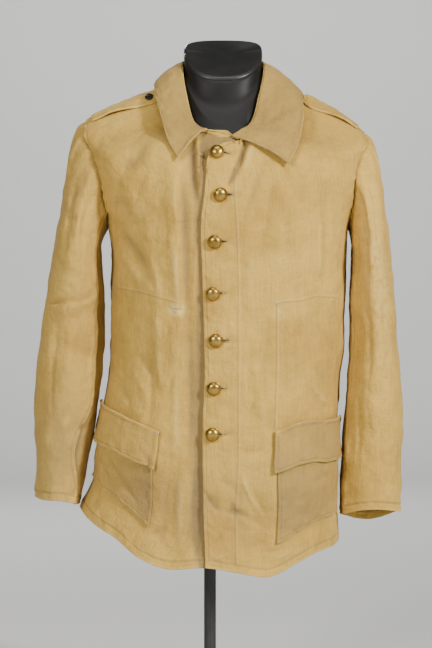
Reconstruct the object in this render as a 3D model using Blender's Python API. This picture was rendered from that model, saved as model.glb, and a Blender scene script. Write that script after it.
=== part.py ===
"""Military tunic of cotton drill, buttoned up on a limbless dress form with a pole and a round base.

Metres, +Z up, the front of the tunic towards -Y. Left and right in names are the wearer's, so the
left front is on the +X side. The origin is the centre of the base plate's underside.

The body of the tunic is one surface of two parameters. `turn` runs round it in degrees: 0 at the
front, 90 at the +X side, 180 at the back. `rise` runs up it: 0 at the hem, 1 at the neckline. The
cut pieces are stretches of that surface, each a wall of cloth, and what is sewn on top of a piece is
made from the same points, moved out.
"""

import math

import bmesh
import bpy
import numpy as np
from mathutils import Vector

for old in list(bpy.data.objects):
    bpy.data.objects.remove(old, do_unlink=True)

# Cloth and seams
WALL = 0.0016
PATCH_WALL = 0.0012
HARD_GAP = 0.0004
CLOTH_GAP = 0.0010
PATCH_GAP = 0.0014
SEAM_GAP = 0.0008
ARMHOLE_GAP = 0.0010
NECKLINE_GAP = 0.0036
SEAM_TURN = 0.15

# Landmarks of the body surface
WAIST_RISE = 0.40
WAIST_Z = 0.580
UNDERARM_RISE = 0.60
SHOULDER_RISE = 0.85
SHOULDER_RIDGE_POWER = 0.85
SIDE_SEAM_DRIFT = 8.0
ARMHOLE_FRONT = {-1: 29.0, 1: 26.0}
ARMHOLE_BACK = 30.0

# Front opening
UNDERLAP = 0.045
UNDERLAP_STEP = 0.012
UNDERLAP_STEP_END = 0.003
UNDERLAP_FROM_STAND = 3.0
CORNER_RISE = 0.795
CORNER_REACH = 0.037
CORNER_END = 0.048
CORNER_LIFT = 0.155
CORNER_START = 0.70
CORNER_ROUNDS = 5

# Girth of the body, one row a level: its reach to each side and how square its corners are
GIRTH_COLUMNS = ("rise", "left_x", "right_x", "front_y", "middle_y", "back_y", "power")
GIRTH = (
    (0.00, -0.1930, 0.1920, -0.146, 0.000, 0.130, 2.2),
    (0.07, -0.1725, 0.1900, -0.143, 0.000, 0.127, 2.2),
    (0.18, -0.1660, 0.1895, -0.140, 0.000, 0.123, 2.3),
    (0.29, -0.1545, 0.1905, -0.137, 0.000, 0.119, 2.3),
    (0.40, -0.1470, 0.1990, -0.135, 0.000, 0.116, 2.3),
    (0.48, -0.1470, 0.2010, -0.136, 0.000, 0.117, 2.3),
    (0.56, -0.1455, 0.2035, -0.138, 0.000, 0.119, 2.4),
    (0.60, -0.1500, 0.2060, -0.139, 0.000, 0.120, 2.4),
    (0.68, -0.1720, 0.2230, -0.137, 0.000, 0.118, 2.4),
    (0.76, -0.1850, 0.2310, -0.131, 0.000, 0.110, 2.4),
    (0.85, -0.1850, 0.2290, -0.121, 0.000, 0.096, 2.2),
    (0.92, -0.1200, 0.1650, -0.112, 0.004, 0.086, 2.1),
    (1.00, -0.0475, 0.0865, -0.101, 0.010, 0.084, 2.0),
)

# Height of the same levels above the waist, by direction; the corner is half way from front to side
HEIGHT_COLUMNS = ("rise", "front_z", "corner_z", "left_z", "right_z", "back_z")
HEIGHT = (
    (0.40, 0.580, 0.580, 0.580, 0.580, 0.580),
    (0.48, 0.660, 0.660, 0.660, 0.660, 0.660),
    (0.56, 0.735, 0.735, 0.735, 0.735, 0.735),
    (0.60, 0.765, 0.765, 0.765, 0.765, 0.768),
    (0.68, 0.810, 0.815, 0.828, 0.824, 0.828),
    (0.76, 0.840, 0.848, 0.880, 0.870, 0.880),
    (0.85, 0.863, 0.876, 0.924, 0.909, 0.925),
    (0.92, 0.878, 0.893, 0.957, 0.955, 0.960),
    (1.00, 0.893, 0.906, 0.985, 0.983, 0.992),
)

# Height of the hem by turn: it dips at the front and lifts at the right side
HEM_COLUMNS = ("turn", "height")
HEM = (
    (-180.0, 0.312),
    (-150.0, 0.318),
    (-120.0, 0.334),
    (-90.0, 0.349),
    (-56.0, 0.325),
    (-42.0, 0.308),
    (-31.0, 0.284),
    (-21.0, 0.271),
    (0.0, 0.271),
    (12.0, 0.264),
    (27.0, 0.258),
    (37.0, 0.272),
    (47.0, 0.284),
    (73.0, 0.2945),
    (90.0, 0.3005),
    (120.0, 0.303),
    (150.0, 0.307),
    (180.0, 0.312),
)

# Front edge of the left front, which shows
PLACKET_COLUMNS = ("rise", "edge_x")
PLACKET = (
    (0.00, -0.0063),
    (0.16, -0.0100),
    (0.28, -0.0100),
    (0.36, -0.0075),
    (0.50, -0.0104),
    (0.60, -0.0128),
    (0.67, -0.0080),
    (0.79, -0.0043),
    (1.00, -0.0030),
)

# Main folds of the body: a trough has a positive depth, a ridge a negative one. The place across is
# x on the body and the angle round from its inner side on a sleeve; the place up is the height.
FOLD_COLUMNS = ("start_across", "start_up", "end_across", "end_up", "width", "depth")
FRONT_FOLDS = (
    (-0.028, 0.870, -0.024, 0.620, 0.013, 0.0060),
    (-0.052, 0.850, -0.046, 0.640, 0.016, -0.0035),
    (0.056, 0.872, 0.022, 0.790, 0.014, 0.0050),
    (0.078, 0.850, 0.070, 0.700, 0.018, 0.0040),
    (-0.096, 0.885, -0.126, 0.835, 0.016, 0.0045),
    (0.150, 0.860, 0.178, 0.790, 0.018, 0.0045),
    (-0.050, 0.520, -0.052, 0.250, 0.020, 0.0060),
    (0.052, 0.430, 0.078, 0.260, 0.022, 0.0050),
    (0.094, 0.400, 0.100, 0.250, 0.020, -0.0050),
    (-0.118, 0.700, -0.095, 0.560, 0.022, 0.0040),
    (0.165, 0.690, 0.140, 0.560, 0.022, 0.0040),
)
BACK_FOLDS = (
    (-0.100, 0.880, -0.060, 0.740, 0.020, 0.0050),
    (0.140, 0.870, 0.100, 0.730, 0.020, 0.0050),
    (-0.070, 0.640, -0.095, 0.300, 0.024, 0.0060),
    (0.015, 0.560, 0.010, 0.280, 0.026, -0.0050),
    (0.090, 0.640, 0.105, 0.280, 0.024, 0.0060),
)

# Shares of a fold's length over which it grows in and dies away
FOLD_FADE_IN = (-0.20, 0.35)
FOLD_FADE_OUT = (0.65, 1.20)

# Sleeves, one row a level, from the cuff up. Outer is away from the body.
SLEEVE_COLUMNS = ("height", "outer_x", "inner_x", "front_y", "back_y")
SLEEVE_RIGHT = (
    (0.345, -0.2600, -0.1970, -0.074, 0.034),
    (0.445, -0.2600, -0.1760, -0.068, 0.046),
    (0.515, -0.2610, -0.1655, -0.062, 0.054),
    (0.590, -0.2565, -0.1595, -0.060, 0.064),
    (0.660, -0.2475, -0.1590, -0.066, 0.072),
    (0.735, -0.2335, -0.1620, -0.080, 0.078),
)
SLEEVE_LEFT = (
    (0.320, 0.2815, 0.1955, -0.058, 0.036),
    (0.370, 0.2850, 0.1945, -0.062, 0.038),
    (0.445, 0.2865, 0.1975, -0.068, 0.046),
    (0.515, 0.2850, 0.2035, -0.074, 0.054),
    (0.590, 0.2810, 0.2095, -0.078, 0.064),
    (0.660, 0.2775, 0.2095, -0.078, 0.072),
    (0.735, 0.2695, 0.2110, -0.082, 0.080),
)
CUFF_Z = {
    -1: {"front": 0.361, "outer": 0.3635, "back": 0.360, "inner": 0.352},
    1: {"front": 0.347, "outer": 0.341, "back": 0.324, "inner": 0.336},
}
SLEEVE_MEAN_RADIUS = 0.056
ARM_TOP_Z = 0.735
ARM_SHARE = 0.66
ARM_RUN_STEP = 0.02
CAP_LEAVE_PULL = 0.5
CAP_ARM_PULL = 0.9
LEAVE_SHOULDER = np.array([1.0, 0.0, -0.35])
LEAVE_UNDERARM = np.array([0.8, 0.0, -0.6])

# Folds of the sleeves, in the columns of the body's folds
SLEEVE_FOLDS = {
    -1: (
        (20.0, 0.645, 150.0, 0.610, 0.014, 0.0045),
        (30.0, 0.560, 120.0, 0.600, 0.013, 0.0035),
        (55.0, 0.440, 80.0, 0.370, 0.013, 0.0035),
        (200.0, 0.640, 320.0, 0.600, 0.016, 0.0045),
    ),
    1: (
        (25.0, 0.600, 140.0, 0.640, 0.014, 0.0040),
        (60.0, 0.530, 130.0, 0.500, 0.014, 0.0030),
        (200.0, 0.600, 330.0, 0.640, 0.016, 0.0045),
        (70.0, 0.450, 100.0, 0.370, 0.016, 0.0030),
    ),
}

# Sleeve seams, in degrees round the sleeve from its inner side towards the front
FRONT_SEAM = {-1: 42.0, 1: 31.0}
FRONT_SEAM_AT_ARMHOLE = 45.0
BACK_SEAM = 292.5

# Roll line of the collar round the neck, and the outer edge that its fall hangs to
NECK_X = 0.0195
ROLL_HALF_WIDTH = 0.0640
ROLL_COLUMNS = ("turn", "height")
ROLL = (
    (0.0, 0.9030),
    (20.0, 0.9040),
    (35.0, 0.9095),
    (47.0, 0.9230),
    (61.0, 0.9580),
    (75.0, 0.9860),
    (90.0, 1.0040),
    (120.0, 1.0210),
    (180.0, 1.0320),
)
ROLL_FRONT_Y = -0.103
ROLL_BACK_Y = 0.088
ROLL_BACK_POWER = 2.4
STAND_START = 16.0
STAND_END = 371.0
TAB_ROUND = 9.0
FALL_COLUMNS = ("roll_turn", "edge_x", "edge_y", "edge_z")
FALL = (
    (16.0, 0.1146, -0.1335, 0.8500),
    (30.0, 0.1292, -0.1130, 0.8830),
    (48.0, 0.1370, -0.0830, 0.9230),
    (66.0, 0.1385, -0.0420, 0.9510),
    (88.0, 0.1385, 0.0120, 0.9680),
    (112.0, 0.1200, 0.0680, 0.9680),
    (146.0, 0.0800, 0.1020, 0.9620),
    (180.0, 0.0195, 0.1150, 0.9580),
    (214.0, -0.0380, 0.1040, 0.9660),
    (246.0, -0.0720, 0.0600, 0.9780),
    (270.0, -0.0830, 0.0020, 0.9790),
    (292.0, -0.0800, -0.0480, 0.9550),
    (308.0, -0.0710, -0.0850, 0.9220),
    (324.0, -0.0600, -0.1120, 0.8840),
    (338.0, -0.0450, -0.1330, 0.8575),
)
FALL_BULGE = 0.006
FALL_GAP = 0.0016
FALL_STRAP_LIFT = 0.0045
FALL_STRAP_TURN = 81.0
FALL_STRAP_SPREAD = 24.0

# Shoulder straps lie along the shoulder seam
STRAP_HALF_WIDTH = 0.023
STRAP_START_RISE = 0.862
STRAP_END_RISE = {-1: 0.972, 1: 0.945}
STRAP_FORWARD = (2.5, 11.0)
STRAP_ROUND = 0.30
STRAP_TIP_CUT = 0.85
STRAP_GAP = 0.0006

# Pockets and flaps of the skirt, in degrees of turn and metres of height
POCKET_FRONT = {-1: 30.5, 1: 27.5}
POCKET_SIDE = {-1: 84.0, 1: 76.0}
POCKET_ABOVE_HEM = 0.046
POCKET_MOUTH_DROP = 0.008
FLAP_FRONT = {-1: 29.0, 1: 25.5}
FLAP_SIDE = {-1: 87.0, 1: 79.0}
FLAP_COLUMNS = ("share", "top_z", "bottom_z")
FLAP_RIGHT = (
    (0.00, 0.4660, 0.4100),
    (0.33, 0.4850, 0.4320),
    (1.00, 0.5070, 0.4510),
)
FLAP_LEFT = (
    (0.00, 0.4660, 0.4045),
    (0.25, 0.4790, 0.4180),
    (0.60, 0.4800, 0.4200),
    (1.00, 0.4850, 0.4235),
)

# Buttons: x and height of each on the left front
BUTTONS = (
    (0.0104, 0.867),
    (0.0147, 0.806),
    (0.0073, 0.738),
    (0.0044, 0.664),
    (0.0087, 0.596),
    (0.0057, 0.528),
    (0.0041, 0.462),
)
BUTTON_RADIUS = 0.0105
BUTTON_DOME = 0.0055
STRAP_BUTTON_RADIUS = 0.0062
STRAP_BUTTON_DOME = 0.0030
STRAP_BUTTON_PLACE = (0.80, 0.35)
SHANK_WIDTH = 0.32
SHANK_LENGTH = 0.0016
RIM_HEIGHT = 0.0010
UNDERSIDE_WIDTH = 0.93
DOME_ANGLES = (28.0, 52.0, 74.0)

# Dress form and stand
FORM_CLEARANCE = 0.0130
FORM_SHOULDER_CLEARANCE = 0.0030
FORM_SHOULDER_RISES = (0.80, 0.90)
FORM_SHOULDER_POWER = 7
FORM_NECKLINE_EXTRA = 0.0016
FORM_NECKLINE_RISES = (0.96, 1.0)
FORM_BOTTOM_Z = 0.375
FORM_BOTTOM_ROUND = 0.014
FORM_SOLE_WIDTH = 0.9
NECK_COLUMNS = ("half_width", "front_y", "back_y", "front_z", "side_z", "back_z")
NECK = (
    (0.0585, -0.079, 0.0765, 0.9100, 0.9940, 1.0020),
    (0.0580, -0.061, 0.0750, 0.9400, 1.0060, 1.0180),
    (0.0590, -0.049, 0.0740, 0.9790, 1.0240, 1.0530),
)
NECK_SLOPE_POWER = {"front": (1.5, 1.5, 1.3), "back": (1.5, 1.2, 0.6)}
NECK_CORNER_POWER = (2.0, 2.1, 2.5)
CAP_THICKNESS = 0.004
CAP_LAYERS = ((0.985, 0.0), (1.0, 0.3), (0.995, 0.75), (0.96, 1.0))
POLE_RADIUS = 0.009
BASE_RADIUS = 0.150
BASE_HEIGHT = 0.012
BASE_LOWER_ROUND = 0.001
BASE_UPPER_ROUND = 0.003

# Steps for the direction that a surface faces
TURN_STEP = 1.2
RISE_STEP = 0.009
SLEEVE_STEPS = (2.0, 0.012)
STAND_STEPS = (1.0, 0.2)
FALL_STEPS = (1.5, 0.08)

# How finely the pieces are divided
FRONT_COLUMNS = 15
FRONT_CLOSENESS = 1.3
BACK_COLUMNS = 23
RISES_BELOW_ARM = (0.0, 0.045, 0.09, 0.14, 0.19, 0.24, 0.29, 0.345, 0.40, 0.45, 0.50, 0.55)
ARMHOLE_STEPS = 8
RISES_OF_SHOULDER = (0.885, 0.92, 0.96, 1.0)
TOP_SLEEVE_COLUMNS = 12
UNDER_SLEEVE_COLUMNS = 6
ARM_ROWS = 13
CAP_ROWS = 7
STAND_COLUMNS = 30
STAND_ROWS = 3
FALL_COLUMN_COUNT = 31
FALL_ROWS = 6
CLEAR_TURNS = np.linspace(-180.0, 178.5, 240)
CLEAR_RISES = np.linspace(0.70, 1.0, 61)
STRAP_COLUMNS = 5
STRAP_ROWS = 11
POCKET_COLUMNS = 9
POCKET_ROWS = 6
FLAP_COLUMN_COUNT = 10
FLAP_ROWS = 4
BUTTON_SEGMENTS = 14
STRAP_BUTTON_SEGMENTS = 12
PLACE_SEARCH_STEPS = 801
POLE_SEGMENTS = 24
BASE_SEGMENTS = 48
FORM_COLUMNS = 28
FORM_RISES = (0.14, 0.22, 0.31, 0.40, 0.48, 0.56, 0.62, 0.68, 0.74, 0.80, 0.85, 0.89, 0.93, 0.97, 1.0)

SHARP_DEGREES = 50.0

# Materials
CLOTH_COLOUR = (0.46, 0.34, 0.17, 1.0)
BRASS_COLOUR = (0.50, 0.34, 0.12, 1.0)
DARK_BUTTON_COLOUR = (0.03, 0.02, 0.02, 1.0)
FORM_COLOUR = (0.012, 0.012, 0.014, 1.0)
STEEL_COLOUR = (0.03, 0.03, 0.03, 1.0)


def material(name, colour, roughness, metallic=0.0):
    made = bpy.data.materials.new(name)
    made.use_nodes = True
    shader = made.node_tree.nodes["Principled BSDF"]
    shader.inputs["Base Color"].default_value = colour
    shader.inputs["Roughness"].default_value = roughness
    shader.inputs["Metallic"].default_value = metallic
    return made


def columns(names, rows):
    """A table as a dictionary of its columns."""
    return dict(zip(names, np.array(rows, dtype=float).T))


def smooth(knots, values, at):
    """Cubic through the knots: its slope at a knot is the mean of the slopes on both sides."""
    slope = np.gradient(values, knots)
    at = np.clip(at, knots[0], knots[-1])
    left = np.clip(np.searchsorted(knots, at, side="right") - 1, 0, len(knots) - 2)
    span = knots[left + 1] - knots[left]
    s = (at - knots[left]) / span
    start = (2 * s**3 - 3 * s**2 + 1) * values[left] + (s**3 - 2 * s**2 + s) * span * slope[left]
    end = (3 * s**2 - 2 * s**3) * values[left + 1] + (s**3 - s**2) * span * slope[left + 1]
    return start + end


def ease(low, high, value):
    """0 below low, 1 above high, and an S-curve between them."""
    s = np.clip((value - low) / (high - low), 0.0, 1.0)
    return s * s * (3 - 2 * s)


def wrapped(turn):
    """The same direction between -180 and 180 degrees."""
    return (np.asarray(turn, dtype=float) + 180.0) % 360.0 - 180.0


girth = columns(GIRTH_COLUMNS, GIRTH)
height = columns(HEIGHT_COLUMNS, HEIGHT)
hem = columns(HEM_COLUMNS, HEM)
placket = columns(PLACKET_COLUMNS, PLACKET)
roll = columns(ROLL_COLUMNS, ROLL)
fall = columns(FALL_COLUMNS, FALL)
neck = columns(NECK_COLUMNS, NECK)
flap = {-1: columns(FLAP_COLUMNS, FLAP_RIGHT), 1: columns(FLAP_COLUMNS, FLAP_LEFT)}
sleeve = {-1: columns(SLEEVE_COLUMNS, SLEEVE_RIGHT), 1: columns(SLEEVE_COLUMNS, SLEEVE_LEFT)}
WEARER = {-1: "right", 1: "left"}


def girth_at(name, rise):
    return smooth(girth["rise"], girth[name], rise)


def hem_height(turn):
    return smooth(hem["turn"], hem["height"], wrapped(turn))


def body_height(turn, rise):
    """Height: straight from the hem to the waist, and above it a cubic through eight directions."""
    turn = wrapped(turn)
    low = hem_height(turn)
    below = low + (WAIST_Z - low) * rise / WAIST_RISE
    front, corner, left, right, back = (smooth(height["rise"], height[name], rise)
                                        for name in HEIGHT_COLUMNS[1:])
    fronts = np.cos(np.radians(turn))
    sides = np.abs(np.sin(np.radians(turn)))
    side = np.where(turn < 0, left, right)
    toward_corner = ease(0.0, math.sqrt(0.5), sides)
    from_ridge = np.clip((1 - sides) / (1 - math.sqrt(0.5)), 0.0, 1.0)
    toward_side = 1 - np.sin(np.pi / 2 * from_ridge)**SHOULDER_RIDGE_POWER
    front_half = front + (corner - front) * toward_corner + (side - corner) * toward_side
    back_half = back + (side - back) * sides**2
    above = np.where(fronts >= 0, front_half, back_half)
    return np.where(rise < WAIST_RISE, below, above)


def ring_offset(turn, power):
    """Unit ring whose corners fill out as power grows past 2: x to the right, y to the back."""
    across = np.sin(np.radians(turn))
    along = -np.cos(np.radians(turn))
    scale = (np.abs(across)**power + np.abs(along)**power)**(-1.0 / power)
    return across * scale, along * scale


def plain_body(turn, rise):
    """The body surface without its folds."""
    turn, rise = np.broadcast_arrays(np.asarray(turn, float), np.clip(rise, 0.0, 1.0))
    across, along = ring_offset(turn, girth_at("power", rise))
    left_x = girth_at("left_x", rise)
    right_x = girth_at("right_x", rise)
    middle_y = girth_at("middle_y", rise)
    reach_y = np.where(along < 0, middle_y - girth_at("front_y", rise), girth_at("back_y", rise) - middle_y)
    x = (left_x + right_x) / 2 + (right_x - left_x) / 2 * across
    return np.stack([x, middle_y + reach_y * along, body_height(turn, rise)], axis=-1)


def fold_depth(across, up, folds):
    """Sum of folds: each a bell across its line, fading out past both of its ends."""
    total = np.zeros(np.shape(across))
    for row in folds:
        fold = dict(zip(FOLD_COLUMNS, row))
        line_across = fold["end_across"] - fold["start_across"]
        line_up = fold["end_up"] - fold["start_up"]
        length = math.hypot(line_across, line_up)
        from_across = (across - fold["start_across"]) / length
        from_up = (up - fold["start_up"]) / length
        along = (from_across * line_across + from_up * line_up) / length
        aside = from_across * line_up - from_up * line_across
        fade = ease(*FOLD_FADE_IN, along) * (1 - ease(*FOLD_FADE_OUT, along))
        total = total + fold["depth"] * fade * np.exp(-(aside / fold["width"])**2)
    return total


def surface_normal(surface, across, up, step_across, step_up):
    """Outward unit normal, from small steps along both parameters."""
    side = surface(across + step_across, up) - surface(across - step_across, up)
    rise = surface(across, up + step_up) - surface(across, up - step_up)
    normal = np.cross(side, rise)
    return normal / np.linalg.norm(normal, axis=-1, keepdims=True)


def plain_normal(turn, rise):
    return surface_normal(plain_body, turn, rise, TURN_STEP, RISE_STEP)


def body(turn, rise):
    """The body surface: the plain one, pressed in or raised along its normal by the folds."""
    turn, rise = np.broadcast_arrays(np.asarray(turn, float), np.clip(rise, 0.0, 1.0))
    point = plain_body(turn, rise)
    facing = np.cos(np.radians(turn))
    depth = ease(0.05, 0.35, facing) * fold_depth(point[..., 0], point[..., 2], FRONT_FOLDS)
    depth = depth + ease(0.05, 0.35, -facing) * fold_depth(point[..., 0], point[..., 2], BACK_FOLDS)
    return point - plain_normal(turn, rise) * depth[..., None]


def body_normal(turn, rise):
    return surface_normal(body, turn, rise, TURN_STEP, RISE_STEP)


def turn_at_x(x, rise):
    """Front turn at which the ring at this rise reaches x."""
    left_x = girth_at("left_x", rise)
    right_x = girth_at("right_x", rise)
    power = girth_at("power", rise)
    share = (x - (left_x + right_x) / 2) / ((right_x - left_x) / 2)
    tangent = np.abs(share) / (1 - np.abs(share)**power)**(1 / power)
    return np.degrees(np.arctan(tangent)) * np.sign(share)


def place_on_front(x, z):
    """Turn and rise of the front point seen at x and z."""
    rises = np.linspace(0.0, 1.0, PLACE_SEARCH_STEPS)
    turns = turn_at_x(x, rises)
    nearest = np.argmin(np.abs(plain_body(turns, rises)[:, 2] - z))
    return turns[nearest], rises[nearest]


def mesh_object(name, points, faces, finish):
    """One named object from points and faces, its faces turned outwards and shaded smooth."""
    mesh = bpy.data.meshes.new(name)
    mesh.from_pydata(np.asarray(points).tolist(), [], faces)
    work = bmesh.new()
    work.from_mesh(mesh)
    bmesh.ops.recalc_face_normals(work, faces=work.faces)
    work.to_mesh(mesh)
    work.free()
    mesh.materials.append(finish)
    mesh.shade_smooth()
    mesh.set_sharp_from_angle(angle=math.radians(SHARP_DEGREES))
    made = bpy.data.objects.new(name, mesh)
    bpy.context.collection.objects.link(made)
    return made


def sheet_solid(name, outer, inner, finish):
    """Closed wall between two grids of points of the same size."""
    rows, cols = outer.shape[:2]
    top = np.arange(rows * cols).reshape(rows, cols)
    under = top + rows * cols
    edge = np.concatenate([top[0, :], top[1:, -1], top[-1, -2::-1], top[-2:0:-1, 0]])
    rim = np.stack([np.roll(edge, -1), edge, edge + rows * cols, np.roll(edge, -1) + rows * cols], axis=-1)
    quads = [np.stack([g[:-1, :-1], g[:-1, 1:], g[1:, 1:], g[1:, :-1]], axis=-1).reshape(-1, 4)
             for g in (top, under[:, ::-1])]
    points = np.concatenate([outer.reshape(-1, 3), inner.reshape(-1, 3)])
    return mesh_object(name, points, np.concatenate(quads + [rim]).tolist(), finish)


def ringed_solid(name, rings, finish):
    """Closed solid through rings of points, each end closed to its own middle point."""
    count = rings.shape[1]
    points = np.concatenate([rings.reshape(-1, 3), rings[0].mean(axis=0)[None], rings[-1].mean(axis=0)[None]])
    index = np.arange(rings.shape[0] * count).reshape(-1, count)
    after = np.roll(index, -1, axis=1)
    sides = np.stack([index[:-1], after[:-1], after[1:], index[1:]], axis=-1).reshape(-1, 4).tolist()
    first, last = len(points) - 2, len(points) - 1
    bottom = [[first, b, a] for a, b in zip(index[0].tolist(), after[0].tolist())]
    top = [[last, a, b] for a, b in zip(index[-1].tolist(), after[-1].tolist())]
    return mesh_object(name, points, sides + bottom + top, finish)


def turned_solid(name, profile, segments, finish):
    """Solid turned round Z from radius and height pairs, bottom first."""
    angle = np.linspace(0.0, 2 * math.pi, segments, endpoint=False)
    circle = np.stack([np.cos(angle), np.sin(angle)], axis=-1)
    rings = [np.concatenate([circle * radius, np.full((segments, 1), z)], axis=-1) for radius, z in profile]
    return ringed_solid(name, np.array(rings), finish)


def body_sheet(name, turn, rise, lift, thickness, finish):
    """Wall on the body surface: its outer face is lifted off the surface along the normal."""
    normal = body_normal(turn, rise)
    outer = body(turn, rise) + normal * np.asarray(lift)[..., None]
    return sheet_solid(name, outer, outer - normal * thickness, finish)


def armhole_step_rises():
    """Rises from the underarm to the shoulder, close together at both ends as on an oval."""
    angle = np.linspace(0.0, math.pi, ARMHOLE_STEPS + 1)
    return UNDERARM_RISE + (SHOULDER_RISE - UNDERARM_RISE) * (1 - np.cos(angle)) / 2


def armhole_sine(rise):
    """How far the armhole has cut in at this rise: 0 at the underarm and the shoulder, 1 half way."""
    share = np.clip((rise - UNDERARM_RISE) / (SHOULDER_RISE - UNDERARM_RISE), 0.0, 1.0)
    return np.sqrt(1 - (1 - 2 * share)**2)


def side_turn(side, rise, cut):
    """Turn where a panel ends: the side seam, then the armhole, then the shoulder seam."""
    drift = SIDE_SEAM_DRIFT * np.clip(1 - rise / UNDERARM_RISE, 0.0, 1.0)
    return side * (90.0 + drift + cut * armhole_sine(rise))


panel_rises = np.concatenate([RISES_BELOW_ARM, armhole_step_rises(), RISES_OF_SHOULDER])


def make_front_left(finish):
    """Left front: from its edge to the side seam, its top corner rounded off below the collar."""
    share, level = np.meshgrid(np.linspace(0.0, 1.0, FRONT_COLUMNS)**FRONT_CLOSENESS, panel_rises)
    end = side_turn(1, level, -ARMHOLE_FRONT[1]) - SEAM_TURN
    rise = level
    for _ in range(CORNER_ROUNDS):
        edge_x = smooth(placket["rise"], placket["edge_x"], rise)
        start = turn_at_x(edge_x, rise)
        turn = start + (end - start) * share
        from_edge = plain_body(turn, rise)[..., 0] - edge_x
        reach = np.clip(1 - from_edge / CORNER_REACH, 0.0, 1.0)
        top = CORNER_RISE + CORNER_LIFT * np.sqrt(1 - reach**2)
        top = top + (1 - CORNER_RISE - CORNER_LIFT) * ease(CORNER_REACH, CORNER_END, from_edge)
        cut = CORNER_START + (level - CORNER_START) * (top - CORNER_START) / (1 - CORNER_START)
        rise = np.where(level > CORNER_START, cut, level)
    body_sheet("front_left", turn, rise, np.zeros(turn.shape), WALL, finish)


def underlap_drop(turn, rise):
    """How far the right front lies under the surface: nothing, then a wall where the left one laps it."""
    edge_x = smooth(placket["rise"], placket["edge_x"], rise)
    from_edge = plain_body(turn, rise)[..., 0] - edge_x
    return (WALL + PATCH_GAP) * ease(-UNDERLAP_STEP, -UNDERLAP_STEP_END, from_edge)


def make_front_right(finish):
    """Right front: from the side seam to its edge, which runs on under the left front."""
    rise = panel_rises[:, None]
    edge_x = smooth(placket["rise"], placket["edge_x"], rise)
    share = 1 - np.linspace(1.0, 0.0, FRONT_COLUMNS)[None, :]**FRONT_CLOSENESS
    start = side_turn(-1, rise, -ARMHOLE_FRONT[-1]) + SEAM_TURN
    end = turn_at_x(edge_x + UNDERLAP, rise)
    end = np.minimum(end, STAND_START - UNDERLAP_FROM_STAND)
    turn = start + (end - start) * share
    rise = np.broadcast_to(rise, turn.shape)
    body_sheet("front_right", turn, rise, -underlap_drop(turn, rise), WALL, finish)


def make_back(finish):
    rise = panel_rises[:, None]
    share = np.linspace(0.0, 1.0, BACK_COLUMNS)[None, :]
    start = side_turn(1, rise, ARMHOLE_BACK) + SEAM_TURN
    end = 360.0 + side_turn(-1, rise, ARMHOLE_BACK) - SEAM_TURN
    turn = start + (end - start) * share
    body_sheet("back", turn, np.broadcast_to(rise, turn.shape), np.zeros(turn.shape), WALL, finish)


def armhole(side, angle):
    """Point of the armhole: 0 at the underarm, 90 at the front, 180 at the shoulder, 270 at the back."""
    sine = np.sin(np.radians(angle))
    rise = UNDERARM_RISE + (SHOULDER_RISE - UNDERARM_RISE) * (1 - np.cos(np.radians(angle))) / 2
    cut = np.where(sine > 0, -ARMHOLE_FRONT[side] * sine, -ARMHOLE_BACK * sine)
    return body(side * (90.0 + cut), rise)


def arm(side, angle, z):
    """Oval ring of the arm at a height, in the same angle as the armhole."""
    table = sleeve[side]
    outer, inner, front, back = (smooth(table["height"], table[name], z) for name in SLEEVE_COLUMNS[1:])
    toward_inner = np.cos(np.radians(angle))
    toward_front = np.sin(np.radians(angle))
    x = (outer + inner) / 2 + (inner - outer) / 2 * toward_inner
    y = (front + back) / 2 + (front - back) / 2 * toward_front
    return np.stack([x, y, z], axis=-1)


def cuff_height(side, angle):
    cuff = CUFF_Z[side]
    toward_inner = np.cos(np.radians(angle))
    toward_front = np.sin(np.radians(angle))
    sides = np.where(toward_inner > 0, cuff["inner"], cuff["outer"]) * toward_inner**2
    return sides + np.where(toward_front > 0, cuff["front"], cuff["back"]) * toward_front**2


def plain_sleeve(side, angle, share):
    """Sleeve surface: share 0 at the cuff, ARM_SHARE at the arm's top ring, 1 at the armhole.

    Below the top ring it is the arm's ovals. Above it each line is a cubic that leaves the armhole
    outwards and meets the arm along its own run.
    """
    angle, share = np.broadcast_arrays(np.asarray(angle, float), np.clip(share, 0.0, 1.0))
    low = cuff_height(side, angle)
    arm_part = arm(side, angle, low + (ARM_TOP_Z - low) * np.clip(share / ARM_SHARE, 0.0, 1.0))
    upward = (1 - np.cos(np.radians(angle)))[..., None] / 2
    leave = LEAVE_SHOULDER * upward + LEAVE_UNDERARM * (1 - upward)
    leave = leave * np.array([side, 1.0, 1.0])
    leave = leave / np.linalg.norm(leave, axis=-1, keepdims=True)
    start = armhole(side, angle) + leave * ARMHOLE_GAP
    top_z = np.full(angle.shape, ARM_TOP_Z)
    end = arm(side, angle, top_z)
    run = arm(side, angle, top_z - ARM_RUN_STEP) - end
    run = run / np.linalg.norm(run, axis=-1, keepdims=True)
    gap = np.linalg.norm(end - start, axis=-1, keepdims=True)
    s = np.clip((1 - share) / (1 - ARM_SHARE), 0.0, 1.0)[..., None]
    cap_part = ((2 * s**3 - 3 * s**2 + 1) * start + (s**3 - 2 * s**2 + s) * leave * CAP_LEAVE_PULL * gap
                + (3 * s**2 - 2 * s**3) * end + (s**3 - s**2) * run * CAP_ARM_PULL * gap)
    return np.where((share > ARM_SHARE)[..., None], cap_part, arm_part)


def sleeve_surface(side):
    """The sleeve surface of one side with its folds pressed in."""
    def plain(angle, share):
        return plain_sleeve(side, angle, share)

    def folded(angle, share):
        angle, share = np.broadcast_arrays(np.asarray(angle, float), np.clip(share, 0.0, 1.0))
        point = plain(angle, share)
        normal = surface_normal(plain, angle, share, *SLEEVE_STEPS) * side
        around = np.radians(angle % 360.0) * SLEEVE_MEAN_RADIUS
        folds = np.array(SLEEVE_FOLDS[side])
        folds[:, [0, 2]] = np.radians(folds[:, [0, 2]]) * SLEEVE_MEAN_RADIUS
        return point - normal * fold_depth(around, point[..., 2], folds)[..., None]
    return folded


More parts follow.
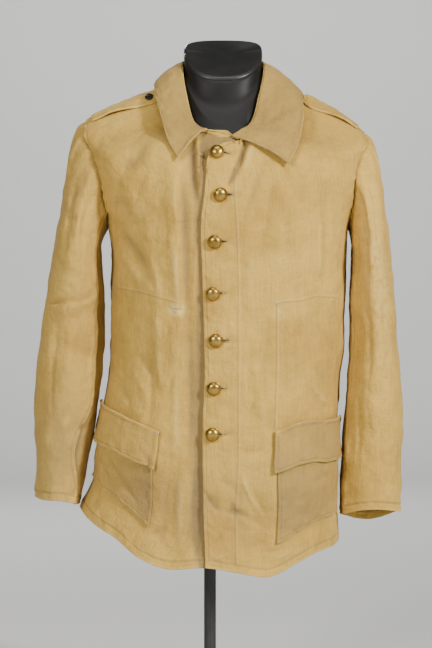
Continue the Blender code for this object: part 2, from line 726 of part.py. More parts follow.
def make_sleeve(side, finish):
    """Top and under sleeve of one side, apart at the front and back seams."""
    surface = sleeve_surface(side)
    share = np.concatenate([np.linspace(0.0, ARM_SHARE, ARM_ROWS),
                            np.linspace(ARM_SHARE, 1.0, CAP_ROWS + 1)[1:]])[:, None]
    seam = math.degrees(SEAM_GAP / 2 / SLEEVE_MEAN_RADIUS)
    front = FRONT_SEAM[side] + (FRONT_SEAM_AT_ARMHOLE - FRONT_SEAM[side]) * ease(ARM_SHARE, 1.0, share)
    halves = (("top", front + seam, BACK_SEAM - seam, TOP_SLEEVE_COLUMNS),
              ("under", BACK_SEAM - 360.0 + seam, front - seam, UNDER_SLEEVE_COLUMNS))
    for half, start, end, count in halves:
        angle = start + (end - start) * np.linspace(0.0, 1.0, count)[None, :]
        angle, shares = np.broadcast_arrays(angle, share)
        outer = surface(angle, shares)
        normal = surface_normal(surface, angle, shares, *SLEEVE_STEPS) * side
        sheet_solid(f"sleeve_{WEARER[side]}_{half}", outer, outer - normal * WALL, finish)


def roll_point(turn):
    """Roll line of the collar: an oval round the neck that falls towards the front."""
    across, along = ring_offset(turn, np.where(np.cos(np.radians(turn)) < 0, ROLL_BACK_POWER, 2.0))
    y = (ROLL_FRONT_Y + ROLL_BACK_Y) / 2 + (ROLL_BACK_Y - ROLL_FRONT_Y) / 2 * along
    z = smooth(roll["turn"], roll["height"], np.abs(wrapped(turn)))
    return np.stack([NECK_X + ROLL_HALF_WIDTH * across, y, z], axis=-1)


def stand_surface(turn, share):
    """Collar band: straight from the neckline to the roll line, lower towards the end of its tab."""
    turn, share = np.broadcast_arrays(np.asarray(turn, float), np.asarray(share, float))
    top_share = np.sqrt(1 - ease(STAND_END - TAB_ROUND, STAND_END + 1.0, turn)**2)
    at_neckline = np.full(turn.shape, 1.0)
    inward = body_normal(turn, at_neckline) * underlap_drop(turn, at_neckline)[..., None]
    low = body(turn, at_neckline) - inward + np.array([0.0, 0.0, NECKLINE_GAP])
    under_fall = WALL + SEAM_GAP
    sideways = np.stack([np.sin(np.radians(turn)), -np.cos(np.radians(turn)), np.ones(turn.shape)], axis=-1)
    high = roll_point(turn) - sideways * under_fall
    return low + (high - low) * (share * top_share)[..., None]


def make_collar_stand(finish):
    turn = np.linspace(STAND_START, STAND_END, STAND_COLUMNS)[None, :]
    share = np.linspace(0.0, 1.0, STAND_ROWS)[:, None]
    turn, share = np.broadcast_arrays(turn, share)
    outer = stand_surface(turn, share)
    normal = surface_normal(stand_surface, turn, share, *STAND_STEPS)
    sheet_solid("collar_stand", outer, outer - normal * WALL, finish)


def clear_of_body(points):
    """Points nearer to the body than a layer of cloth are moved out, further over the right strap."""
    turns, rises = np.meshgrid(CLEAR_TURNS, CLEAR_RISES)
    turns, rises = turns.ravel(), rises.ravel()
    surface, normals = body(turns, rises), body_normal(turns, rises)
    flat = points.reshape(-1, 3)
    nearest = np.argmin(((flat[:, None, :] - surface[None]) ** 2).sum(axis=-1), axis=1)
    over_strap = np.exp(-((turns[nearest] + FALL_STRAP_TURN) / FALL_STRAP_SPREAD)**4)
    wanted = WALL + FALL_GAP + FALL_STRAP_LIFT * over_strap
    lift = ((flat - surface[nearest]) * normals[nearest]).sum(axis=-1)
    moved = flat + normals[nearest] * np.maximum(wanted - lift, 0.0)[:, None]
    return moved.reshape(points.shape)


def fall_surface(turn, share):
    """Collar fall: from the roll line out and down to its edge, bulging a little between them."""
    turn, share = np.broadcast_arrays(np.asarray(turn, float), np.asarray(share, float))
    start = roll_point(turn)
    end = np.stack([smooth(fall["roll_turn"], fall[name], turn) for name in FALL_COLUMNS[1:]], axis=-1)
    out = np.stack([np.sin(np.radians(turn)), -np.cos(np.radians(turn)), np.ones(turn.shape)], axis=-1)
    bulge = FALL_BULGE * 4 * share * (1 - share)
    free = start + (end - start) * share[..., None] + out * bulge[..., None] / math.sqrt(2)
    return clear_of_body(free)


def make_collar_fall(finish):
    """Fall of the collar; its rows run from the edge up, so that the grid faces out."""
    turn = np.linspace(FALL[0][0], FALL[-1][0], FALL_COLUMN_COUNT)[None, :]
    share = np.linspace(1.0, 0.0, FALL_ROWS)[:, None]
    turn, share = np.broadcast_arrays(turn, share)
    outer = fall_surface(turn, share)
    normal = -surface_normal(fall_surface, turn, share, *FALL_STEPS)
    sheet_solid("collar_fall", outer, outer - normal * WALL, finish)


def strap_grid(side, along, across):
    """Turn and rise of strap points: along from the sleeve seam, across in widths of the strap."""
    rise = STRAP_START_RISE + (STRAP_END_RISE[side] - STRAP_START_RISE) * along
    centre = side * (90.0 - STRAP_FORWARD[0] - (STRAP_FORWARD[1] - STRAP_FORWARD[0]) * along)
    per_degree = np.linalg.norm(body(centre + 1.0, rise) - body(centre - 1.0, rise), axis=-1) / 2
    into_round = np.clip((along - 1 + STRAP_ROUND) / STRAP_ROUND, 0.0, 1.0)
    half = STRAP_HALF_WIDTH * np.sqrt(1 - STRAP_TIP_CUT * into_round**2)
    return centre + across * half / per_degree, rise


def make_strap(side, finish):
    along = np.linspace(0.0, 1.0, STRAP_ROWS)[:, None]
    across = np.linspace(-1.0, 1.0, STRAP_COLUMNS)[None, :]
    along, across = np.broadcast_arrays(along, across)
    turn, rise = strap_grid(side, along, across)
    lift = np.full(turn.shape, STRAP_GAP + WALL)
    body_sheet(f"shoulder_strap_{WEARER[side]}", turn, rise, lift, WALL, finish)


def skirt_rise(turn, z):
    """Rise of the skirt point at this turn and height."""
    low = hem_height(turn)
    return WAIST_RISE * (z - low) / (WAIST_Z - low)


def flap_heights(side, share):
    table = flap[side]
    return (smooth(table["share"], table["top_z"], share), smooth(table["share"], table["bottom_z"], share))


def make_pocket(side, finish):
    """Patch pocket: its mouth lies under the flap and its lower edge follows the hem."""
    share = np.linspace(0.0, 1.0, POCKET_COLUMNS)[None, :]
    up = np.linspace(0.0, 1.0, POCKET_ROWS)[:, None]
    turn = side * (POCKET_FRONT[side] + (POCKET_SIDE[side] - POCKET_FRONT[side]) * share)
    bottom = hem_height(turn) + POCKET_ABOVE_HEM
    top = flap_heights(side, share)[0] - POCKET_MOUTH_DROP
    z = bottom + (top - bottom) * up
    turn = np.broadcast_to(turn, z.shape)
    grid_turn, grid_z = (turn, z) if side > 0 else (turn[:, ::-1], z[:, ::-1])
    lift = np.full(z.shape, PATCH_GAP + PATCH_WALL)
    body_sheet(f"pocket_{WEARER[side]}", grid_turn, skirt_rise(grid_turn, grid_z), lift, PATCH_WALL, finish)


def make_flap(side, finish):
    share = np.linspace(0.0, 1.0, FLAP_COLUMN_COUNT)[None, :]
    up = np.linspace(0.0, 1.0, FLAP_ROWS)[:, None]
    turn = side * (FLAP_FRONT[side] + (FLAP_SIDE[side] - FLAP_FRONT[side]) * share)
    top, bottom = flap_heights(side, share)
    z = bottom + (top - bottom) * up
    turn = np.broadcast_to(turn, z.shape)
    grid_turn, grid_z = (turn, z) if side > 0 else (turn[:, ::-1], z[:, ::-1])
    lift = np.full(z.shape, PATCH_GAP + PATCH_WALL + CLOTH_GAP + WALL)
    body_sheet(f"pocket_flap_{WEARER[side]}", grid_turn, skirt_rise(grid_turn, grid_z), lift, WALL, finish)


def button_profile(radius, dome):
    """Radius and height pairs: a shank, a flat underside, a rolled rim and a dome."""
    shank = radius * SHANK_WIDTH
    under = HARD_GAP + SHANK_LENGTH
    rim = under + RIM_HEIGHT
    dome_angles = np.radians(DOME_ANGLES)
    over_rim = list(zip(radius * np.cos(dome_angles), rim + dome * np.sin(dome_angles)))
    return [(shank, HARD_GAP), (shank, under), (radius * UNDERSIDE_WIDTH, under), (radius, rim)] + over_rim


def stand_on(made, point, normal):
    made.location = Vector(point)
    made.rotation_mode = "QUATERNION"
    made.rotation_quaternion = Vector(normal).to_track_quat("Z", "Y")


def make_buttons(brass, dark):
    for number, (x, z) in enumerate(BUTTONS, start=1):
        turn, rise = place_on_front(x, z)
        profile = button_profile(BUTTON_RADIUS, BUTTON_DOME)
        button = turned_solid(f"button_{number}", profile, BUTTON_SEGMENTS, brass)
        stand_on(button, body(turn, rise), body_normal(turn, rise))
    along, across = np.array(STRAP_BUTTON_PLACE)
    turn, rise = strap_grid(-1, along, across)
    normal = body_normal(turn, rise)
    seat = body(turn, rise) + normal * (STRAP_GAP + WALL)
    profile = button_profile(STRAP_BUTTON_RADIUS, STRAP_BUTTON_DOME)
    button = turned_solid("strap_button_right", profile, STRAP_BUTTON_SEGMENTS, dark)
    stand_on(button, seat, normal)


def form_ring(rise, turn):
    """Ring of the torso: the body surface moved in, level below the waist."""
    rise = np.full(turn.shape, rise)
    top = ease(*FORM_SHOULDER_RISES, rise) * np.abs(np.sin(np.radians(turn)))**FORM_SHOULDER_POWER
    clearance = FORM_CLEARANCE + (FORM_SHOULDER_CLEARANCE - FORM_CLEARANCE) * top
    clearance = clearance + FORM_NECKLINE_EXTRA * ease(*FORM_NECKLINE_RISES, rise)
    point = plain_body(turn, rise) - plain_normal(turn, rise) * clearance[..., None]
    level = FORM_BOTTOM_Z + (WAIST_Z - FORM_BOTTOM_Z) * (rise - FORM_RISES[0]) / (WAIST_RISE - FORM_RISES[0])
    point[..., 2] = np.where(rise < WAIST_RISE, level, point[..., 2])
    return point


def neck_ring(row, turn):
    """Oval ring of the neck, its front lower than its back."""
    half_width, front_y, back_y, front_z, side_z, back_z = (neck[name][row] for name in NECK_COLUMNS)
    across, along = ring_offset(turn, NECK_CORNER_POWER[row])
    x = NECK_X + half_width * across
    y = (front_y + back_y) / 2 + (back_y - front_y) / 2 * along
    front_slope = (front_z - side_z) * np.abs(along)**NECK_SLOPE_POWER["front"][row]
    back_slope = (back_z - side_z) * np.abs(along)**NECK_SLOPE_POWER["back"][row]
    z = side_z + np.where(along < 0, front_slope, back_slope)
    return np.stack([x, y, z], axis=-1)


def make_form(plastic, steel):
    """Torso, neck cap, pole and base plate."""
    turn = np.linspace(0.0, 360.0, FORM_COLUMNS, endpoint=False)
    rings = [form_ring(rise, turn) for rise in FORM_RISES]
    sole = rings[0].copy()
    centre = sole.mean(axis=0)
    sole[:, :2] = centre[:2] + (sole[:, :2] - centre[:2]) * FORM_SOLE_WIDTH
    sole[:, 2] = FORM_BOTTOM_Z - FORM_BOTTOM_ROUND
    rings = [sole] + rings + [neck_ring(row, turn) for row in range(len(NECK))]
    ringed_solid("form_torso", np.array(rings), plastic)

    rim = neck_ring(len(NECK) - 1, turn)
    middle = rim.mean(axis=0)
    slope = np.cross(rim[FORM_COLUMNS // 4] - rim[3 * FORM_COLUMNS // 4], rim[FORM_COLUMNS // 2] - rim[0])
    slope = slope / np.linalg.norm(slope)
    cap = [middle + (rim - middle) * width + slope * (HARD_GAP + CAP_THICKNESS * level)
           for width, level in CAP_LAYERS]
    ringed_solid("neck_cap", np.array(cap), plastic)

    pole_top = FORM_BOTTOM_Z - FORM_BOTTOM_ROUND - HARD_GAP
    pole = ((POLE_RADIUS, BASE_HEIGHT + HARD_GAP), (POLE_RADIUS, pole_top))
    turned_solid("form_pole", pole, POLE_SEGMENTS, steel)
    plate = ((BASE_RADIUS - BASE_LOWER_ROUND, 0.0), (BASE_RADIUS, BASE_LOWER_ROUND),
             (BASE_RADIUS, BASE_HEIGHT - BASE_UPPER_ROUND), (BASE_RADIUS - BASE_UPPER_ROUND, BASE_HEIGHT))
    turned_solid("base_plate", plate, BASE_SEGMENTS, steel)


def make_tunic():
    cloth = material("khaki_drill", CLOTH_COLOUR, 0.92)
    brass = material("aged_brass", BRASS_COLOUR, 0.38, 0.9)
    dark = material("dark_button", DARK_BUTTON_COLOUR, 0.3)
    plastic = material("black_form", FORM_COLOUR, 0.3)
    steel = material("black_steel", STEEL_COLOUR, 0.45)
    make_front_left(cloth)
    make_front_right(cloth)
    make_back(cloth)
    for side in (-1, 1):
        make_sleeve(side, cloth)
        make_strap(side, cloth)
        make_pocket(side, cloth)
        make_flap(side, cloth)
    make_collar_stand(cloth)
    make_collar_fall(cloth)
    make_buttons(brass, dark)
    make_form(plastic, steel)


if __name__ == "__main__":
    make_tunic()
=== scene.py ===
"""Worn khaki drill tunic, buttoned up on a limbless black dress form with a pole and a round base.

Metres, +Z up, the front towards -Y. Left and right are the wearer's, so the left front is on the +X
side. The body of the tunic is one surface of turn (degrees round it: 0 front, 90 at +X, 180 back) and
rise (0 hem, 1 neckline). Each cut piece is a stretch of it with both faces of the cloth and its turned
edges, and what is sewn on lies on the same points, lifted by the layers under it.
"""

import math

import bpy
import numpy as np
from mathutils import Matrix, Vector


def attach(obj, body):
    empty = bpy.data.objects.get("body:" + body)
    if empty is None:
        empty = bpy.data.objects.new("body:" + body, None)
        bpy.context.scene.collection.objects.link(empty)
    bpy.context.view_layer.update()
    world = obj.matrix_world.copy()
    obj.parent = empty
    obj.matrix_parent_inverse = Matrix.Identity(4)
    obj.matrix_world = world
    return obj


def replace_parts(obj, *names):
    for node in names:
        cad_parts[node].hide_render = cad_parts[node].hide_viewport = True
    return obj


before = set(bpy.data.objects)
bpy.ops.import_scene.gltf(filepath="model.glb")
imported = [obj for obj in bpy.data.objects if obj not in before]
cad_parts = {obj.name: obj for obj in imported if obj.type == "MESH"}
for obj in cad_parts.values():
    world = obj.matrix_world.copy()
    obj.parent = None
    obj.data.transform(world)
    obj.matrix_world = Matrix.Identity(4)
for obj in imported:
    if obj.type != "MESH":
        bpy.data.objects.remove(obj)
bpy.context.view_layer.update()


def tenths(*rows, angles=()):
    """Rows given in tenths of a millimetre, as metres. Columns that are angles stay in degrees."""
    return tuple(tuple(value if column in angles else value / 10000 for column, value in enumerate(row))
                 for row in rows)


# Layers of cloth
WALL = 0.0016
PATCH_WALL = 0.0012
CLOTH_GAP = 0.001
PATCH_GAP = 0.0014
STRAP_GAP = 0.0006
SEAM_LAP = 0.008
NECKLINE_TUCK = 0.0008
LAP_GAP = 0.0003
STEP, FRONT_STEP, FINE_STEP = 0.0032, 0.0026, 0.003
PLAIN_STEPS, CLOTH_STEPS = (1.2, 0.009), (0.7, 0.005)
BODY_PER_DEGREE = 0.0026

# Landmarks of the body surface
WAIST_RISE, WAIST_Z = 0.4, 0.58
UNDERARM_RISE, SHOULDER_RISE = 0.6, 0.85
SHOULDER_RIDGE_POWER = 0.85
SIDE_SEAM_DRIFT = 8.0
ARMHOLE_FRONT = {-1: 29.0, 1: 26.0}
ARMHOLE_BACK = 30.0
UNDERLAP = 0.045
UNDERLAP_STEP, UNDERLAP_STEP_END = 0.016, 0.003
CORNER_RISE, CORNER_LIFT, CORNER_START = 0.795, 0.155, 0.7
CORNER_REACH, CORNER_END = 0.037, 0.048

# Girth, one row a level: reach to each side, front and back, and how square the ring's corners are
GIRTH_COLUMNS = ("rise", "left_x", "right_x", "front_y", "middle_y", "back_y", "power")
GIRTH = (
    (0.0, -0.193, 0.192, -0.146, 0.0, 0.13, 2.2),
    (0.07, -0.1725, 0.19, -0.143, 0.0, 0.127, 2.2),
    (0.18, -0.166, 0.1895, -0.14, 0.0, 0.123, 2.3),
    (0.29, -0.1545, 0.1905, -0.137, 0.0, 0.119, 2.3),
    (0.4, -0.147, 0.199, -0.135, 0.0, 0.116, 2.3),
    (0.48, -0.147, 0.201, -0.136, 0.0, 0.117, 2.3),
    (0.56, -0.1455, 0.2035, -0.138, 0.0, 0.119, 2.4),
    (0.6, -0.15, 0.206, -0.139, 0.0, 0.12, 2.4),
    (0.68, -0.172, 0.223, -0.137, 0.0, 0.118, 2.4),
    (0.76, -0.185, 0.231, -0.131, 0.0, 0.11, 2.4),
    (0.85, -0.185, 0.229, -0.121, 0.0, 0.096, 2.2),
    (0.92, -0.12, 0.165, -0.112, 0.004, 0.086, 2.1),
    (1.0, -0.0475, 0.0865, -0.101, 0.01, 0.084, 2.0),
)

# Height of the levels above the waist, by direction
HEIGHT_COLUMNS = ("rise", "front_z", "corner_z", "left_z", "right_z", "back_z")
HEIGHT = (
    (0.4, 0.58, 0.58, 0.58, 0.58, 0.58),
    (0.48, 0.66, 0.66, 0.66, 0.66, 0.66),
    (0.56, 0.735, 0.735, 0.735, 0.735, 0.735),
    (0.6, 0.765, 0.765, 0.765, 0.765, 0.768),
    (0.68, 0.81, 0.815, 0.828, 0.824, 0.828),
    (0.76, 0.84, 0.848, 0.88, 0.87, 0.88),
    (0.85, 0.863, 0.876, 0.924, 0.909, 0.925),
    (0.92, 0.878, 0.893, 0.957, 0.955, 0.96),
    (1.0, 0.893, 0.906, 0.985, 0.983, 0.992),
)
HEM_COLUMNS = ("turn", "height")
HEM = (
    (-180.0, 0.312), (-150.0, 0.318), (-120.0, 0.334), (-90.0, 0.349), (-56.0, 0.325), (-42.0, 0.308),
    (-31.0, 0.284), (-21.0, 0.271), (0.0, 0.271), (12.0, 0.264), (27.0, 0.258), (37.0, 0.272),
    (47.0, 0.284), (73.0, 0.2945), (90.0, 0.3005), (120.0, 0.303), (150.0, 0.307), (180.0, 0.312),
)
PLACKET_COLUMNS = ("rise", "edge_x")
PLACKET = (
    (0.0, -0.0063), (0.16, -0.01), (0.28, -0.01), (0.36, -0.0075), (0.5, -0.0104),
    (0.6, -0.0128), (0.67, -0.008), (0.79, -0.0043), (1.0, -0.003),
)

# Main folds of the body: a trough has a positive depth, a ridge a negative one
FOLD_COLUMNS = ("start_across", "start_up", "end_across", "end_up", "width", "depth")
FRONT_FOLDS = tenths(
    (-280, 8700, -240, 6200, 130, 30), (-520, 8500, -460, 6400, 160, -35),
    (560, 8720, 220, 7900, 140, 50), (780, 8500, 700, 7000, 180, 40),
    (-960, 8850, -1260, 8350, 160, 45), (1500, 8600, 1780, 7900, 180, 45),
    (-500, 5200, -520, 2500, 200, 60), (520, 4300, 780, 2600, 220, 50),
    (940, 4000, 1000, 2500, 200, -50), (-1180, 7000, -950, 5600, 220, 40),
    (1650, 6900, 1400, 5600, 220, 40),
)
BACK_FOLDS = tenths(
    (-1000, 8800, -600, 7400, 200, 50), (1400, 8700, 1000, 7300, 200, 50),
    (-700, 6400, -950, 3000, 240, 60), (150, 5600, 100, 2800, 260, -50),
    (900, 6400, 1050, 2800, 240, 60),
)
FOLD_FADE_IN, FOLD_FADE_OUT = (-0.2, 0.35), (0.65, 1.2)

# Creases, listed one by one. Widths are those of its upper or left flank and its lower or right flank.
CREASE_STRENGTH, CREASE_SHARPNESS = 2.1, 1.45
CREASE_COLUMNS = ("from_across", "from_up", "to_across", "to_up", "bow", "upper", "lower", "depth")
FRONT_CREASES = tenths(
    (-262, 8970, -215, 7900, 15, 65, 46, 48), (-190, 8930, -160, 8000, 10, 32, 36, -30),
    (-118, 8920, -75, 8260, 10, 40, 30, 30), (-420, 8680, -350, 6100, 20, 45, 90, 30),
    (-520, 8600, -450, 6000, 15, 80, 45, -16), (545, 8940, 415, 8500, -10, 22, 50, 54),
    (610, 8840, 460, 8380, -20, 40, 80, -24), (475, 8700, 230, 8140, 10, 22, 50, 50),
    (280, 8140, 20, 7720, 20, 40, 70, 12), (750, 8620, 440, 7620, 40, 45, 85, 18),
    (980, 8500, 800, 7200, -40, 90, 60, 10), (1560, 8150, 1590, 6600, 10, 40, 50, -13),
    (1640, 8100, 1680, 6800, 10, 70, 50, 14), (1250, 7200, 1290, 5900, 20, 80, 50, 9),
    (1250, 6100, 1254, 5000, 10, 30, 40, 10), (1566, 7000, 1594, 6560, 10, 30, 30, 12),
    (-1414, 7650, -800, 6770, 60, 100, 70, 22), (-1380, 7400, -980, 6680, 40, 80, 60, -12),
    (-960, 8860, -1240, 8380, 20, 60, 90, 22), (-1130, 8800, -1380, 8200, 30, 60, 50, 12),
    (-840, 8500, -1080, 7900, -40, 90, 80, 10), (-1500, 8000, -1150, 7850, 40, 80, 100, 16),
    (-750, 6600, -700, 5200, -30, 60, 80, -12), (-170, 6400, -160, 2900, 10, 120, 50, 26),
    (-540, 6200, -520, 4000, 30, 70, 100, -14), (-310, 6550, -290, 4000, 20, 80, 60, 18),
    (-920, 6100, -880, 4700, 40, 70, 60, 11), (-1100, 5900, -800, 5400, -40, 50, 80, 10),
    (-1180, 5600, -880, 5000, 40, 60, 60, -8), (-220, 4200, -200, 2720, 10, 70, 50, 24),
    (-400, 4200, -420, 2900, -20, 80, 70, -14), (-660, 4000, -720, 3000, 30, 60, 90, 12),
    (-900, 3300, -560, 2900, 40, 60, 60, 10), (-65, 3800, 180, 3500, -40, 22, 65, 30),
    (150, 3520, 600, 3410, 30, 22, 70, 30), (560, 3430, 880, 3220, 10, 30, 60, 18),
    (440, 4120, 740, 3440, -30, 28, 80, -20), (540, 4040, 800, 3460, -20, 60, 40, 18),
    (-50, 3000, 160, 3180, 15, 30, 40, 14), (20, 2840, 300, 2960, 15, 30, 40, -10),
    (480, 3000, 860, 3090, 20, 30, 40, 12), (860, 2840, 1180, 2960, 15, 30, 45, -12),
    (400, 4370, 820, 4420, 20, 40, 60, 13), (460, 4240, 900, 4240, 10, 40, 50, -8),
    (80, 5720, 330, 5880, 10, 30, 50, 10), (60, 5100, 340, 5000, 10, 40, 40, 9),
    (60, 4440, 340, 4360, -20, 30, 50, 12), (100, 7060, 360, 7140, 10, 40, 50, 7),
    (560, 6200, 600, 4700, 20, 70, 60, 10), (700, 5600, 820, 4400, -20, 60, 70, -9),
    (1080, 6400, 1120, 4900, 15, 70, 50, 10), (1500, 5600, 1780, 5200, 20, 40, 60, 14),
    (1460, 5400, 1760, 4980, -20, 50, 60, -10), (1600, 6200, 1900, 5700, 20, 60, 60, 12),
    (-1380, 5400, -1160, 5000, 20, 50, 60, 12), (-200, 7400, -240, 6600, 10, 40, 50, -12),
    (-680, 8000, -640, 7000, 30, 100, 80, 9), (-205, 3800, -190, 2900, 10, 85, 55, 18),
    (300, 7700, 480, 6900, 20, 60, 80, 9), (640, 7400, 560, 6400, -30, 70, 60, -10),
    (1060, 7900, 1180, 6900, 30, 80, 60, 12), (820, 6000, 700, 5200, 20, 50, 70, 11),
    (-560, 7900, -480, 7200, 20, 50, 70, 14), (-880, 7300, -700, 6400, 30, 70, 60, -11),
    (-440, 5800, -620, 5200, 20, 50, 60, 11), (300, 4000, 460, 3520, 20, 50, 60, 16),
    (120, 3300, 440, 3160, 20, 40, 60, 14), (980, 3300, 1300, 3160, 20, 50, 60, 12),
    (-980, 4400, -820, 4020, 20, 50, 60, 12), (260, 3720, 420, 3300, 15, 22, 45, 18),
    (340, 3360, 640, 3220, -20, 20, 50, 14), (100, 3980, 300, 3840, 15, 22, 50, 13),
    (560, 3000, 760, 3300, 20, 22, 40, 12), (780, 2920, 1060, 3020, 15, 20, 40, 12),
    (-900, 3180, -640, 3320, 15, 22, 45, 12), (-380, 3000, -300, 3440, 15, 22, 45, 11),
    (680, 5200, 520, 4860, 15, 24, 50, 10),
)
BACK_CREASES = tenths(
    (-900, 9050, -640, 8000, 40, 60, 90, 24), (-1250, 8800, -1020, 7900, 30, 80, 60, 14),
    (1300, 9000, 980, 7900, -40, 60, 90, 24), (1640, 8700, 1440, 7900, 30, 70, 60, 14),
    (-120, 9600, -180, 8600, 20, 70, 60, 10), (500, 9580, 580, 8500, -20, 70, 60, 10),
    (-1350, 7600, -700, 6900, 60, 80, 70, 20), (1850, 7650, 1200, 7000, -60, 80, 70, 20),
    (-1000, 7000, -400, 6600, 40, 60, 60, -10), (-600, 6200, -860, 3600, 30, 80, 60, 18),
    (-340, 6000, -460, 3300, -30, 90, 70, -12), (200, 6400, 160, 3300, 20, 70, 90, 14),
    (580, 6000, 660, 3500, 20, 80, 70, -12), (900, 6400, 1080, 3400, -30, 60, 80, 18),
    (1350, 6200, 1480, 3800, 20, 80, 60, 12), (-500, 5600, 100, 5520, 30, 40, 60, 10),
    (400, 5660, 1100, 5560, -30, 40, 60, 10), (-1100, 4200, -1300, 3300, 20, 70, 60, 14),
    (380, 4200, 420, 3120, 20, 60, 70, 13), (1200, 4000, 1260, 3060, -20, 60, 70, 13),
)

# How deep the cloth can be pressed in before it meets the form, and how much less where the fronts lap
DEPTH_LIMIT, LAP_DEPTH, LAP_X, LAP_REACH = 0.01, 0.004, -0.006, 0.018

# Crumple: how deep the worn cloth's small dents are, and how far apart
DENTS = ((0.042, 0.0018), (0.019, 0.001), (0.0085, 0.00034))

# Sleeves, one row a level, from the cuff up. Outer is away from the body.
SLEEVE_COLUMNS = ("height", "outer_x", "inner_x", "front_y", "back_y")
SLEEVE_RIGHT = (
    (0.345, -0.26, -0.197, -0.074, 0.034),
    (0.445, -0.26, -0.176, -0.068, 0.046),
    (0.515, -0.261, -0.1655, -0.062, 0.054),
    (0.59, -0.2565, -0.1595, -0.06, 0.064),
    (0.66, -0.2475, -0.159, -0.066, 0.072),
    (0.735, -0.2335, -0.162, -0.08, 0.078),
)
SLEEVE_LEFT = (
    (0.32, 0.2815, 0.1955, -0.058, 0.036),
    (0.37, 0.285, 0.1945, -0.062, 0.038),
    (0.445, 0.2865, 0.1975, -0.068, 0.046),
    (0.515, 0.285, 0.2035, -0.074, 0.054),
    (0.59, 0.281, 0.2095, -0.078, 0.064),
    (0.66, 0.2775, 0.2095, -0.078, 0.072),
    (0.735, 0.2695, 0.211, -0.082, 0.08),
)
CUFF_Z = {
    -1: {"front": 0.361, "outer": 0.3635, "back": 0.36, "inner": 0.352},
    1: {"front": 0.347, "outer": 0.341, "back": 0.324, "inner": 0.336},
}
SLEEVE_MEAN_RADIUS = 0.056
ARM_TOP_Z, ARM_SHARE, ARM_RUN_STEP = 0.735, 0.66, 0.02
CAP_LEAVE_PULL, CAP_ARM_PULL = 0.5, 0.9
LEAVE_SHOULDER = np.array([1.0, 0.0, -0.35])
LEAVE_UNDERARM = np.array([0.8, 0.0, -0.6])
ARMHOLE_TUCK = 0.0014
FRONT_SEAM = {-1: 42.0, 1: 31.0}
FRONT_SEAM_AT_ARMHOLE = 45.0
BACK_SEAM = 292.5
SEAM_SWING, SWING_Z, SWING_REACH = {-1: 26.0, 1: 4.0}, 0.435, 0.045

# Folds and creases of the sleeves: across is the angle from the inner side round the front, in degrees
SLEEVE_FOLDS = {
    -1: tenths(
        (20, 6450, 150, 6100, 140, 45), (30, 5600, 120, 6000, 130, 35), (55, 4400, 80, 3700, 130, 35),
        (200, 6400, 320, 6000, 160, 45),
        angles=(0, 2)),
    1: tenths(
        (25, 6000, 140, 6400, 140, 40), (60, 5300, 130, 5000, 140, 30),
        (200, 6000, 330, 6400, 160, 45), (70, 4500, 100, 3700, 160, 30),
        angles=(0, 2)),
}
SLEEVE_CREASES = {
    -1: tenths(
        (150, 6490, 62, 6500, 20, 22, 60, 30), (66, 6500, 44, 6640, 10, 25, 50, 20),
        (58, 4700, 36, 4660, 10, 25, 50, 26), (120, 8600, 112, 7000, 20, 70, 50, 20),
        (96, 8500, 88, 7200, -20, 60, 50, -14), (74, 8200, 70, 7000, 20, 60, 50, 18),
        (60, 7000, 70, 5600, 30, 60, 80, 16), (118, 6400, 110, 4700, 30, 80, 60, 14),
        (88, 6200, 92, 5000, -20, 60, 60, -10), (140, 7900, 90, 7700, 20, 40, 60, 12),
        (150, 7300, 108, 7000, 20, 50, 60, 12), (76, 5800, 60, 5560, 20, 40, 50, 10),
        (220, 8000, 240, 6400, 30, 70, 60, 18), (260, 7200, 232, 5600, -30, 60, 70, 14),
        (196, 5600, 300, 6000, 40, 40, 70, 20), (200, 5000, 280, 5400, -30, 40, 60, 14),
        angles=(0, 2)),
    1: tenths(
        (70, 8600, 66, 7000, 20, 60, 80, 20), (98, 8500, 104, 7200, 20, 60, 50, 14),
        (84, 8400, 80, 6400, -20, 60, 60, -12), (58, 6900, 74, 5200, 30, 70, 60, 16),
        (110, 7000, 120, 5600, -30, 80, 60, 12), (132, 6600, 96, 6400, 20, 40, 60, 12),
        (128, 5900, 100, 5600, 20, 40, 60, 12), (70, 5600, 94, 4400, 20, 80, 60, -10),
        (50, 5400, 58, 4000, 20, 40, 60, 13), (100, 5000, 112, 3800, -20, 70, 60, 13),
        (150, 8000, 120, 7700, 20, 40, 60, 14), (220, 8000, 240, 6400, 30, 70, 60, 18),
        (264, 7200, 236, 5600, -30, 60, 70, 14), (200, 5600, 310, 6100, 40, 40, 70, 20),
        (206, 4700, 280, 5200, -30, 40, 60, 14),
        angles=(0, 2)),
}
SLEEVE_HEAD_PUCKER, SLEEVE_VALLEY = 0.0036, 0.003

